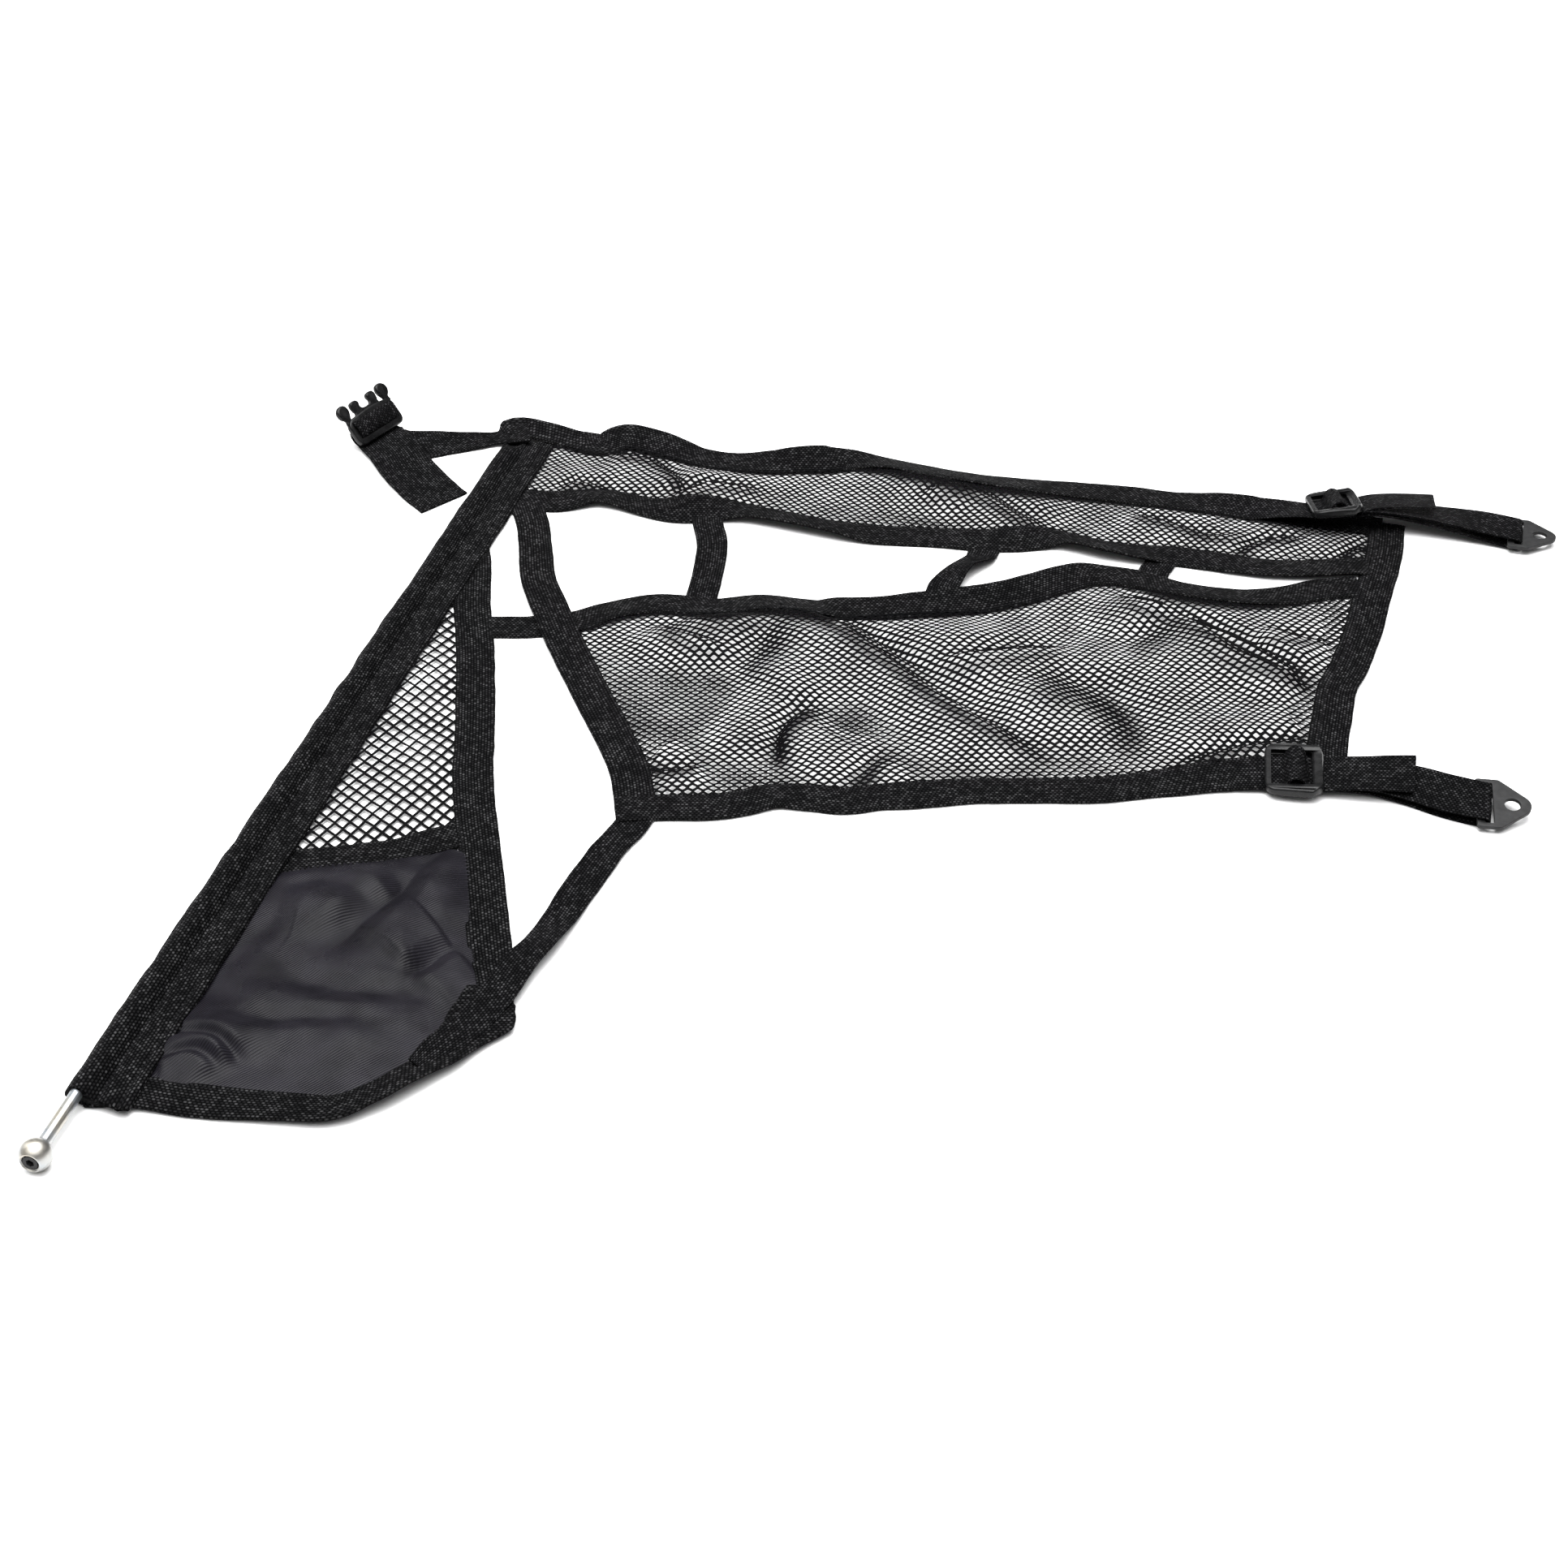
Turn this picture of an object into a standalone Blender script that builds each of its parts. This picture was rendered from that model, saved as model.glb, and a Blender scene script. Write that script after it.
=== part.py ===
"""Side window net of a side-by-side utility vehicle, laid flat on a table.

The net is a large mesh panel and a narrow mesh band in webbing bindings, joined to a webbing sleeve that
holds a steel rod, with a fabric and mesh triangle in the front corner. Straps with a release buckle, two
adjusters and two steel anchor tabs hold it. +X runs to the rear of the vehicle, +Y runs up the door, and
+Z points away from the table. Routes and sizes are in millimetres; MM turns them into metres.
"""

import math

import bmesh
import bpy
from mathutils import Matrix, Vector

MM = 0.001
BINDING_WIDTH = 29.0
BINDING_THICK = 2.4
STRAP_WIDTH = 25.0
STRAP_THICK = 1.6
ADJUST_WIDTH = 38.0
RELEASE_WIDTH = 48.0
MESH_THICK = 1.2
FABRIC_THICK = 0.8
PANEL_INSET = 2.6
STATION = 26.0

# The middle of the drawing that the routes below are measured in.
CENTRE = (1.1, -30.8, 0.0)

ROD_RADIUS = 4.0
ROD_LENGTH = 866.0
BALL_RADIUS = 10.0
BALL_FLAT = 7.6
BALL_BORE = 5.2
BALL_BORE_DEPTH = 5.0
SOCKET_HEAD_RADIUS = 4.8
SOCKET_HEX = 2.7
ROD_HEADING = 13.0
BALL_CENTRE = (-519.0, -486.0, 10.0)
ROD_FALL = 4.0

SLEEVE_WIDTH = 43.0
SLEEVE_HEIGHT = 11.6
SLEEVE_BORE = 4.5
SLEEVE_START = 52.0
SLEEVE_END = 888.0
ROD_OFFSET = 9.5

ADJUSTER_LENGTH = 44.0
ADJUSTER_WIDTH = 51.0
ADJUSTER_THICK = 5.0
ADJUSTER_SLOT_WIDTH = 40.0
ADJUSTER_BAR = 4.0
ADJUSTER_LIP = 6.0

TAB_WIDTH = 45.0
TAB_THICK = 3.0
TAB_BAR = 2.5
TAB_SLOT = 7.5
TAB_SHOULDER = 17.0
TAB_HOLE_AT = 22.5
TAB_HOLE_RADIUS = 5.5
TAB_TIP_RADIUS = 9.5
TAB_LOOP_RADIUS = 4.1
ADJUSTER_LOOP_RADIUS = 4.9

BUCKLE_WIDTH = 58.0
BUCKLE_THICK = 5.0
BUCKLE_SLOT_WIDTH = 51.0
BUCKLE_HEADING = 148.4
BUCKLE_PITCH = 50.0
BUCKLE_PIVOT = (-432.0, 396.0, 7.0)
ARM_FLEX_AT = (26.0, 25.0)

# Each route point is x, y, z, tilt and, where it changes, width. A positive tilt raises the left side.
UPPER_TOP = [
    (-243, 382, 4, 8), (-223, 391, 6.2, 19), (-199, 381, 6.5, 20), (-178, 372, 4.4, 11),
    (-158, 363, 1.8, 1), (-130, 355, 1.8, 1), (-100, 349, 4.7, 13), (-72, 349, 7.3, 23),
    (-50, 349, 7.6, 24), (-30, 354, 4.0, 8), (-2, 347, 5.2, -14), (38, 331, 5.8, -17),
    (78, 318, 5.5, -16), (118, 310, 4.3, -11), (158, 304, 2.9, -5), (198, 298, 1.8, -1),
    (238, 288, 2.3, -3), (278, 278, 4.2, 10), (298, 271, 4.9, 13), (320, 267, 2.7, 4),
    (346, 260, 1.8, 0), (384, 250, 1.6, 0),
]
UPPER_BOTTOM = [
    (-297, 290, 1.9, 1), (-273, 286, 3.0, 6), (-244, 293, 4.0, -10), (-222, 288, 3.4, -8),
    (-199, 277, 2.9, 0), (-174, 267, 6.4, 20), (-150, 268, 6.3, 18), (-118, 267, 4.6, -10),
    (-87, 256, 5.4, -16), (-48, 241, 5.2, -15), (-19, 234, 2.4, -3), (0, 232, 1.6, 0),
    (40, 228, 1.8, 1), (70, 223, 2.7, 5), (95, 221, 4.7, 13), (116, 224, 4.5, 11),
    (134, 225, 3.4, -6), (150, 218, 6.0, -18), (171, 208, 6.2, -18), (196, 202, 4.6, -12),
    (226, 199, 1.8, 0), (256, 191, 2.1, -2), (290, 181, 3.0, -6), (325, 178, 3.2, -7),
    (362, 182, 3.0, -6),
]
MAIN_TOP = [
    (-304, 94, 1.6, 0), (-278, 95, 1.5, 0), (-246, 102, 1.6, 0), (-222, 115, 3.4, -8),
    (-186, 127, 2.4, -4), (-160, 124, 2.8, -5), (-138, 120, 4.0, -10), (-106, 126, 3.9, -10),
    (-78, 121, 5.0, -14), (-60, 118, 4.6, -12), (-44, 121, 1.9, 1), (-15, 120, 2.5, 4),
    (12, 122, 3.8, 9), (40, 124, 5.4, 16), (70, 129, 6.0, 18), (101, 141, 5.9, 17),
    (129, 157, 5.4, 15), (150, 167, 4.0, 10), (171, 169, 2.2, -2), (194, 162, 2.5, -4),
    (218, 147, 4.5, -12), (242, 139, 4.7, -13), (274, 134, 4.2, -11), (306, 139, 2.4, -4),
    (333, 148, 2.0, 0), (349, 151, 1.8, 0),
]
MAIN_BOTTOM = [
    (-173, -138, 1.6, 0), (-140, -138, 1.9, 0), (-116, -133, 1.9, 0), (-93, -125, 2.4, -3),
    (-65, -128, 2.4, 3), (-46, -131, 2.1, 2), (-22, -126, 1.7, 0), (0, -125, 2.6, 4),
    (42, -119, 1.9, 0), (86, -118, 1.8, 0), (128, -118, 1.9, 0), (160, -113, 1.9, 1),
    (192, -107, 2.4, 2, 32), (216, -102, 2.6, 0, 36),
]
MAIN_LEFT = [
    (-293, 255, 2.2, 0, 27), (-287, 215, 2.0, 0, 27), (-281, 165, 3.0, 0, 28),
    (-270, 124, 5.2, 0), (-259, 88, 5.2, 0), (-246, 50, 3.2, 0), (-229, 3, 1.6, 0),
    (-210, -50, 1.6, 0), (-196, -95, 1.6, 0), (-190, -136, 1.6, 0),
]
REAR_BAND = [
    (403, 242, 1.6, 0), (396, 212, 1.6, 0), (385, 176, 1.6, 0), (371, 136, 1.6, 0),
    (355, 88, 1.6, 0), (337, 42, 1.8, 0), (321, 8, 2.0, 3), (312, -24, 1.8, 0),
    (301, -66, 1.6, 0),
]
TRIANGLE_REAR = [
    (-323, 184, 1.6, 0, 8), (-325, 150, 1.6, 0, 18), (-326, 118, 1.6, 0, 25), (-320, 60, 1.6, 0),
    (-314, 0, 1.6, 0), (-309, -56, 2.0, 0), (-306, -98, 1.7, 0), (-300, -143, 1.6, 0),
    (-292, -190, 1.6, 0), (-284, -240, 1.6, 0), (-276, -290, 1.6, 0), (-271, -318, 1.6, 0, 26),
]
MID_BAND = [
    (-424, -203, 1.8, 0), (-392, -197, 1.8, 0), (-352, -189, 1.6, 0), (-334, -181, 1.6, 0),
    (-324, -176, 1.6, 0),
]
LOWER_HEM = [
    (-474, -426, 3.4, 0), (-437, -433, 2.6, 3), (-399, -437, 2.6, -5), (-358, -440, 3.8, -10),
    (-335, -430, 6.0, -18), (-316, -415, 6.8, -20), (-297, -397, 5.2, -13),
]
CORNER_PATCH = [
    (-284, -326), (-259, -324), (-256, -345), (-254, -370), (-268, -379), (-283, -388),
    (-300, -372), (-293, -352), (-289, -338),
]
DIAGONAL = [
    (-192, -160, 2.2, 0), (-206, -187, 2.1, 2), (-222, -228, 2.3, -3), (-233, -260, 3.0, 6),
    (-243, -287, 6.8, 14), (-254, -309, 7.8, 7), (-264, -334, 7.0, 2), (-272, -352, 6.4, 0),
]
UPPER_LOW_END = [(364, 199.5, 1.5), (377, 201, 1.5)]
MAIN_LOW_END = [(226, -80, 2.0), (252, -76, 1.6), (272, -68, 1.2), (296, -58, 1.2)]
FABRIC_CORNER = [(-300, -365, 2.0), (-294, -345, 1.8), (-288, -318, 1.6)]
TRIANGLE_TIP = [(-346, 106, 2.0), (-341, 106, 2.0)]
CONNECTOR_1 = [(-149, 247, 4.6, 0), (-145, 219, 2.6, 3), (-146, 187, 1.6, 0), (-149, 157, 1.6, 0),
               (-151, 140, 2.0, 0)]
CONNECTOR_2 = [(71, 199, 2.4, 4), (67, 192, 4.4, 14), (53, 176, 7.4, 22), (43, 160, 5.8, 10),
               (38, 148, 5.2, 0)]
CONNECTOR_3 = [(211, 184, 2.4, 0), (208, 180, 2.0, 0), (206, 176, 1.8, 0)]
CAP_STRAP = [(-318, 408, 7.0, 4), (-300, 403, 7.0, 4), (-280, 396, 5.0, 2), (-268, 391, 3.8, 2),
             (-258, 388, 3.4, 4)]
RELEASE_STRAP = [
    (-334, 388, 4.0, -8, 24), (-350, 387, 5.2, -9, 34), (-372, 384, 6.0, -6, 43),
    (-396, 385, 6.8, -2), (-419, 388, 6.9, 0),
]
RELEASE_TAIL = [(-417, 367, 2.6, 0), (-404, 340, 1.8, 0), (-384, 308, 1.4, 0), (-370, 288, 1.4, 0)]
LOWER_LOOP = [(303, -106, 6.4, 0), (328, -109, 6.0, 0), (352, -119, 6.2, 3), (372, -132, 7.0, 7),
              (391, -143, 9.0, 11)]
UPPER_LOOP = [(392, 254, 15.0, -13), (420, 252, 12.4, -15), (450, 245, 10.2, -14),
              (478, 237, 8.2, -8), (500, 228, 6.0, -1)]
LOWER_TAIL = [(6, 0, 5.6, 0), (28, 0, 6.4, 0), (55, 1, 6.2, 3), (82, 3, 5.6, 4)]
UPPER_TAIL = [(6, 0, 5.6, 0), (28, 1, 5.0, -2), (52, -1, 2.4, -5), (80, -4, -1.2, -8)]
LOWER_ADJUSTER = dict(at=(252.0, -102.0, 8.6), yaw=-8.0, pitch=0.0, roll=4.0)
UPPER_ADJUSTER = dict(at=(343.0, 257.0, 14.0), yaw=0.0, pitch=5.0, roll=-12.0)
LOWER_TAB = dict(at=(391.0, -143.0, 9.0), yaw=-8.0, pitch=0.0, roll=11.0)
UPPER_TAB = dict(at=(500.0, 228.0, 6.0), yaw=-15.0, pitch=1.0, roll=0.0)
LOWER_STRAP = [(222, -101, 2.6, 0), (236, -101, 4.6, 1), (252, -102, 8.6, 4)]
UPPER_STRAP = [(323, 264, 9.0, -6, 34), (333, 260, 11.6, -9, 37), (343, 257, 14.0, -12)]


def clear_scene():
    for old in list(bpy.data.objects):
        bpy.data.objects.remove(old, do_unlink=True)
    for old in list(bpy.data.collections):
        bpy.data.collections.remove(old)


clear_scene()
PARTS = bpy.data.collections.new("side_window_net")
CUTTERS = bpy.data.collections.new("cutters")
bpy.context.scene.collection.children.link(PARTS)
bpy.context.scene.collection.children.link(CUTTERS)
CUTTERS.hide_render = True


def material(name, colour, roughness, metallic=0.0):
    made = bpy.data.materials.new(name)
    made.use_nodes = True
    shader = made.node_tree.nodes["Principled BSDF"]
    shader.inputs["Base Color"].default_value = (*colour, 1.0)
    shader.inputs["Roughness"].default_value = roughness
    shader.inputs["Metallic"].default_value = metallic
    return made


WEBBING = material("black_webbing", (0.018, 0.018, 0.019), 0.85)
NETTING = material("black_netting", (0.014, 0.014, 0.016), 0.8)
NYLON = material("charcoal_nylon", (0.05, 0.048, 0.055), 0.6)
PLASTIC = material("black_acetal", (0.012, 0.012, 0.013), 0.35)
DARK_STEEL = material("grey_coated_steel", (0.16, 0.16, 0.165), 0.45, 0.7)
ZINC = material("zinc_plated_steel", (0.62, 0.63, 0.63), 0.28, 1.0)


def adopt(obj, name, surface, collection=PARTS):
    """Gives an object its name and material and moves it to its collection."""
    obj.name = name
    obj.data.name = name
    obj.data.materials.clear()
    obj.data.materials.append(surface)
    for old in list(obj.users_collection):
        old.objects.unlink(obj)
    collection.objects.link(obj)
    return obj


def full(point, width):
    """A route point with its width filled in."""
    return tuple(point) if len(point) == 5 else (*point, width)


def along(route, width, spacing=STATION):
    """Stations on a smooth curve through the route: centre, direction to the left side, and width."""
    points = [full(point, width) for point in route]
    ends = [points[0], *points, points[-1]]
    fine = []
    for before, start, end, after in zip(ends, ends[1:], ends[2:], ends[3:]):
        for step in range(12):
            t = step / 12
            fine.append([
                0.5 * (2 * b + (c - a) * t + (2 * a - 5 * b + 4 * c - d) * t * t
                       + (3 * b - a - 3 * c + d) * t ** 3)
                for a, b, c, d in zip(before, start, end, after)
            ])
    fine.append(list(map(float, points[-1])))
    travelled = [0.0]
    for start, end in zip(fine, fine[1:]):
        travelled.append(travelled[-1] + math.dist(start[:3], end[:3]))
    count = max(2, round(travelled[-1] / spacing))
    stations = []
    index = 0
    for step in range(count + 1):
        wanted = travelled[-1] * step / count
        while index < len(fine) - 2 and travelled[index + 1] < wanted:
            index += 1
        part = (wanted - travelled[index]) / max(travelled[index + 1] - travelled[index], 1e-9)
        here = [a + (b - a) * part for a, b in zip(fine[index], fine[index + 1])]
        ahead, behind = fine[min(index + 2, len(fine) - 1)], fine[max(index - 1, 0)]
        heading = Vector((ahead[0] - behind[0], ahead[1] - behind[1], 0.0)).normalized()
        tilt = math.radians(here[3])
        left = Vector((-heading.y * math.cos(tilt), heading.x * math.cos(tilt), math.sin(tilt)))
        stations.append((Vector(here[:3]), left, here[4]))
    return stations


def grid(name, columns, rows, place, thickness, surface):
    """A grid primitive whose points are placed by place(u, v), thickened evenly to both sides."""
    bpy.ops.mesh.primitive_grid_add(x_subdivisions=columns, y_subdivisions=rows, size=2.0)
    obj = adopt(bpy.context.object, name, surface)
    for vertex in obj.data.vertices:
        u, v = (vertex.co.x + 1) / 2, (vertex.co.y + 1) / 2
        vertex.co = place(u, v) * MM
    solid = obj.modifiers.new("Thickness", "SOLIDIFY")
    solid.thickness = thickness * MM
    solid.offset = 0.0
    return obj


def ribbon(name, stations, thickness, surface=WEBBING):
    """A flat strip of webbing through its stations."""
    last = len(stations) - 1

    def place(u, v):
        centre, left, width = stations[round(u * last)]
        return centre + left * (v - 0.5) * width

    return grid(name, last, 1, place, thickness, surface)


def strap(name, route, width=BINDING_WIDTH, thickness=BINDING_THICK, spacing=STATION):
    return ribbon(name, along(route, width, spacing), thickness)


def edge(route, side, width=BINDING_WIDTH, inset=PANEL_INSET):
    """The line just outside a strip's left (1) or right (-1) edge."""
    return [
        centre + left * side * (wide / 2 + inset) for centre, left, wide in along(route, width, 4.0)
    ]


def fine_line(points):
    """A straight-edged line through the points, with a point every few millimetres."""
    line = [Vector(points[0])]
    for start, end in zip(map(Vector, points), map(Vector, points[1:])):
        count = max(1, round((end - start).length / 3.0))
        line += [start.lerp(end, step / count) for step in range(1, count + 1)]
    return line


def trimmed(line, first, last):
    """The stretch of a line between its nearest points to two other lines, which meet it at its ends."""
    def nearest(other):
        gaps = [min((a - b).to_2d().length for b in other) for a in line]
        return gaps.index(min(gaps))

    start, end = nearest(first), nearest(last)
    return line[start:end + 1] if start < end else line[end:start + 1][::-1]


def at(line, t):
    """The point at a share t of the line's length."""
    steps = [(b - a).length for a, b in zip(line, line[1:])]
    wanted = t * sum(steps)
    for start, end, step in zip(line, line[1:], steps):
        if wanted <= step:
            return start.lerp(end, wanted / max(step, 1e-9))
        wanted -= step
    return line[-1].copy()


def panel(name, low, high, left, right, columns, rows, thickness, surface):
    """A sheet stretched between four edge lines: low and high run along u, left and right along v."""
    low, high = trimmed(low, left, right), trimmed(high, left, right)
    left, right = trimmed(left, low, high), trimmed(right, low, high)
    corners = [
        (low[0] + left[0]) / 2, (low[-1] + right[0]) / 2,
        (high[0] + left[-1]) / 2, (high[-1] + right[-1]) / 2,
    ]

    def place(u, v):
        across = at(low, u) * (1 - v) + at(high, u) * v
        upward = at(left, v) * (1 - u) + at(right, v) * u
        flat = (corners[0] * (1 - u) + corners[1] * u) * (1 - v)
        flat += (corners[2] * (1 - u) + corners[3] * u) * v
        point = across + upward - flat
        point.z = max(point.z, thickness / 2 + 0.1)
        return point

    return grid(name, columns, rows, place, thickness, surface)


def frame_of(at, yaw=0.0, pitch=0.0, roll=0.0):
    """A pose in millimetres: yaw about Z, then pitch that lifts +X, then roll that lifts +Y."""
    turn = Matrix.Rotation(math.radians(yaw), 4, "Z")
    turn = turn @ Matrix.Rotation(math.radians(-pitch), 4, "Y")
    turn = turn @ Matrix.Rotation(math.radians(roll), 4, "X")
    return Matrix.Translation(Vector(at) * MM) @ turn


def pivot(name, pose):
    """An empty on a joint's axis, which carries the pieces that move with it."""
    empty = bpy.data.objects.new(name, None)
    empty.matrix_world = pose
    PARTS.objects.link(empty)
    return empty


def carried(obj, parent):
    obj.parent = parent
    return obj


def plate(name, outline, thickness, surface, collection=PARTS):
    """A flat plate from an outline, centred on the plane of its points, as a mesh."""
    curve = bpy.data.curves.new(name, "CURVE")
    curve.dimensions = "2D"
    curve.fill_mode = "BOTH"
    curve.extrude = thickness / 2 * MM
    line = curve.splines.new("POLY")
    line.points.add(len(outline) - 1)
    for point, (x, y) in zip(line.points, outline):
        point.co = (x * MM, y * MM, 0.0, 1.0)
    line.use_cyclic_u = True
    flat = bpy.data.objects.new(name, curve)
    bpy.context.scene.collection.objects.link(flat)
    bpy.context.view_layer.update()
    graph = bpy.context.evaluated_depsgraph_get()
    mesh = bpy.data.meshes.new_from_object(flat.evaluated_get(graph))
    bpy.data.objects.remove(flat, do_unlink=True)
    shape = bmesh.new()
    shape.from_mesh(mesh)
    bmesh.ops.remove_doubles(shape, verts=shape.verts, dist=0.00001)
    bmesh.ops.recalc_face_normals(shape, faces=shape.faces)
    shape.to_mesh(mesh)
    shape.free()
    obj = bpy.data.objects.new(name, mesh)
    bpy.context.scene.collection.objects.link(obj)
    return adopt(obj, name, surface, collection)


def block(name, low, high, surface, collection=PARTS, turn=0.0):
    """A box between two corners, turned about its own middle on Y when asked."""
    bpy.ops.mesh.primitive_cube_add(size=1.0)
    obj = adopt(bpy.context.object, name, surface, collection)
    size = [b - a for a, b in zip(low, high)]
    middle = Vector([(a + b) / 2 for a, b in zip(low, high)])
    obj.data.transform(Matrix.Diagonal((*[s * MM for s in size], 1.0)))
    obj.data.transform(Matrix.Rotation(math.radians(turn), 4, "Y"))
    obj.data.transform(Matrix.Translation(middle * MM))
    return obj


def rod(name, radius, start, end, sides, surface, collection=PARTS):
    """A cylinder between two points."""
    start, end = Vector(start), Vector(end)
    bpy.ops.mesh.primitive_cylinder_add(
        vertices=sides, radius=radius * MM, depth=(end - start).length * MM
    )
    obj = adopt(bpy.context.object, name, surface, collection)
    turn = (end - start).to_track_quat("Z", "Y").to_matrix().to_4x4()
    obj.data.transform(Matrix.Translation((start + end) / 2 * MM) @ turn)
    return obj


def combine(obj, others, operation="DIFFERENCE"):
    """Cuts the other pieces from the object or joins them to it, with each kept as a hidden helper."""
    for other in others:
        step = obj.modifiers.new(other.name, "BOOLEAN")
        step.operation = operation
        step.solver = "EXACT"
        step.object = other
        other.hide_render = True
        other.display_type = "WIRE"
    return obj


def bevelled(obj, width, segments=2, angle=40.0):
    edges = obj.modifiers.new("Edges", "BEVEL")
    edges.width = width * MM
    edges.segments = segments
    edges.limit_method = "ANGLE"
    edges.angle_limit = math.radians(angle)
    return obj


def shaded(obj):
    obj.data.shade_smooth()
    obj.data.set_sharp_from_angle(angle=math.radians(35))
    return obj


def arc(centre, radius, first, last, steps):
    return [
        (centre[0] + radius * math.cos(math.radians(first + (last - first) * n / steps)),
         centre[1] + radius * math.sin(math.radians(first + (last - first) * n / steps)))
        for n in range(steps + 1)
    ]


def rod_pose():
    """The rod's frame: its own +X runs from the ball up the rod."""
    fall = math.degrees(math.asin(ROD_FALL / ROD_LENGTH))
    return frame_of(BALL_CENTRE, yaw=90.0 - ROD_HEADING, pitch=-fall)


def make_rod():
    slide = pivot("rod_slide", rod_pose())
    bar = rod("front_rod", ROD_RADIUS, (BALL_RADIUS - 0.5, 0, 0), (ROD_LENGTH, 0, 0), 20, ZINC)
    carried(shaded(bevelled(bar, 0.8, 1)), slide)
    bpy.ops.mesh.primitive_uv_sphere_add(segments=24, ring_count=14, radius=BALL_RADIUS * MM)
    ball = adopt(bpy.context.object, "rod_ball", ZINC)
    ball.data.transform(Matrix.Rotation(math.radians(90), 4, "Y"))
    far = 2 * BALL_RADIUS
    combine(ball, [
        block("ball_flat_cut", (-far, -far, -far), (-BALL_FLAT, far, far), ZINC, CUTTERS),
        rod("ball_bore_cut", BALL_BORE, (-far, 0, 0), (BALL_BORE_DEPTH - BALL_FLAT, 0, 0), 24, ZINC,
            CUTTERS),
        rod("ball_rod_cut", ROD_RADIUS + 0.3, (BALL_RADIUS - 0.8, 0, 0), (far, 0, 0), 20, ZINC, CUTTERS),
    ])
    carried(shaded(ball), slide)
    head = rod("ball_socket_screw", SOCKET_HEAD_RADIUS, (-BALL_FLAT + 0.4, 0, 0),
               (BALL_BORE_DEPTH - BALL_FLAT - 0.3, 0, 0), 24, ZINC)
    combine(head, [
        rod("socket_hex_cut", SOCKET_HEX, (-far, 0, 0), (BALL_BORE_DEPTH - BALL_FLAT - 1.6, 0, 0), 6, ZINC,
            CUTTERS),
    ])
    carried(shaded(head), slide)
    for helper in CUTTERS.objects:
        if helper.parent is None:
            helper.parent = slide


def make_sleeve():
    """A flat webbing sleeve with a round tunnel for the rod near its front edge."""
    pose = rod_pose()
    outline = [
        (-ROD_OFFSET, -1.6), (-ROD_OFFSET + 3.5, -SLEEVE_HEIGHT / 2), (3.5, -SLEEVE_HEIGHT / 2),
        (11.0, -3.4), (SLEEVE_WIDTH - ROD_OFFSET, -4.4), (SLEEVE_WIDTH - ROD_OFFSET, -1.8),
        (11.0, 1.8), (3.5, SLEEVE_HEIGHT / 2), (-3.5, SLEEVE_HEIGHT / 2), (-ROD_OFFSET, 1.6),
    ]
    sleeve = plate("rod_sleeve", outline, SLEEVE_END - SLEEVE_START, WEBBING)
    stand = Matrix(((0, 0, 1, (SLEEVE_START + SLEEVE_END) / 2 * MM), (-1, 0, 0, 0), (0, 1, 0, 0),
                    (0, 0, 0, 1)))
    sleeve.data.transform(stand)
    sleeve.data.flip_normals()
    sleeve.matrix_world = pose
    bore = rod("sleeve_bore_cut", SLEEVE_BORE, (0, 0, 0), (ROD_LENGTH + 3, 0, 0), 16, WEBBING, CUTTERS)
    bore.matrix_world = pose
    combine(sleeve, [bore])


def sleeve_edge():
    """The line just outside the sleeve's rear edge."""
    pose = rod_pose()
    reach = SLEEVE_WIDTH - ROD_OFFSET + PANEL_INSET
    line = []
    for step in range(120):
        x = SLEEVE_START - 20 + (SLEEVE_END + 20 - SLEEVE_START) * step / 119
        point = pose @ (Vector((x, -reach, -3.1)) * MM) / MM
        line.append(point)
    return line


def make_net():
    strap("upper_top_binding", UPPER_TOP)
    strap("upper_bottom_binding", UPPER_BOTTOM)
    strap("main_top_binding", MAIN_TOP)
    strap("main_bottom_binding", MAIN_BOTTOM)
    strap("main_left_strap", MAIN_LEFT)
    strap("rear_band", REAR_BAND)
    strap("triangle_rear_binding", TRIANGLE_REAR)
    strap("mid_band", MID_BAND, 28.0)
    strap("lower_hem", LOWER_HEM, 27.0, spacing=18.0)
    strap("sleeve_cap", CAP_STRAP, 29.0, spacing=14.0)
    strap("diagonal_strap", DIAGONAL, STRAP_WIDTH, STRAP_THICK, 20.0)
    for number, route in enumerate((CONNECTOR_1, CONNECTOR_2, CONNECTOR_3), 1):
        strap(f"connector_strap_{number}", route, STRAP_WIDTH, STRAP_THICK, 14.0)
    patch = plate("corner_patch", CORNER_PATCH, BINDING_THICK, WEBBING)
    patch.location.z = 1.7 * MM


def make_panels():
    rear = edge(REAR_BAND, -1)
    high = edge(CAP_STRAP, -1) + edge(UPPER_TOP, -1)
    low = edge(UPPER_BOTTOM, 1) + fine_line(UPPER_LOW_END)
    panel("upper_mesh", low, high, sleeve_edge(), rear, 34, 2, MESH_THICK, NETTING)
    low = edge(MAIN_BOTTOM, 1) + fine_line(MAIN_LOW_END)
    panel("main_mesh", low, edge(MAIN_TOP, -1), edge(MAIN_LEFT, 1), rear[::-1], 26, 10, MESH_THICK,
          NETTING)
    binding = edge(TRIANGLE_REAR, -1)[::-1]
    sleeve = sleeve_edge()
    tip = [Vector(TRIANGLE_TIP[0]), Vector(TRIANGLE_TIP[1])]
    panel("triangle_mesh", edge(MID_BAND, 1, 28.0), tip, sleeve, binding, 6, 12, MESH_THICK, NETTING)
    hem = edge(LOWER_HEM, 1, 27.0)
    hem += fine_line(FABRIC_CORNER)
    panel("lower_fabric", hem, edge(MID_BAND, -1, 28.0), sleeve, binding, 8, 9, FABRIC_THICK, NYLON)


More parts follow.
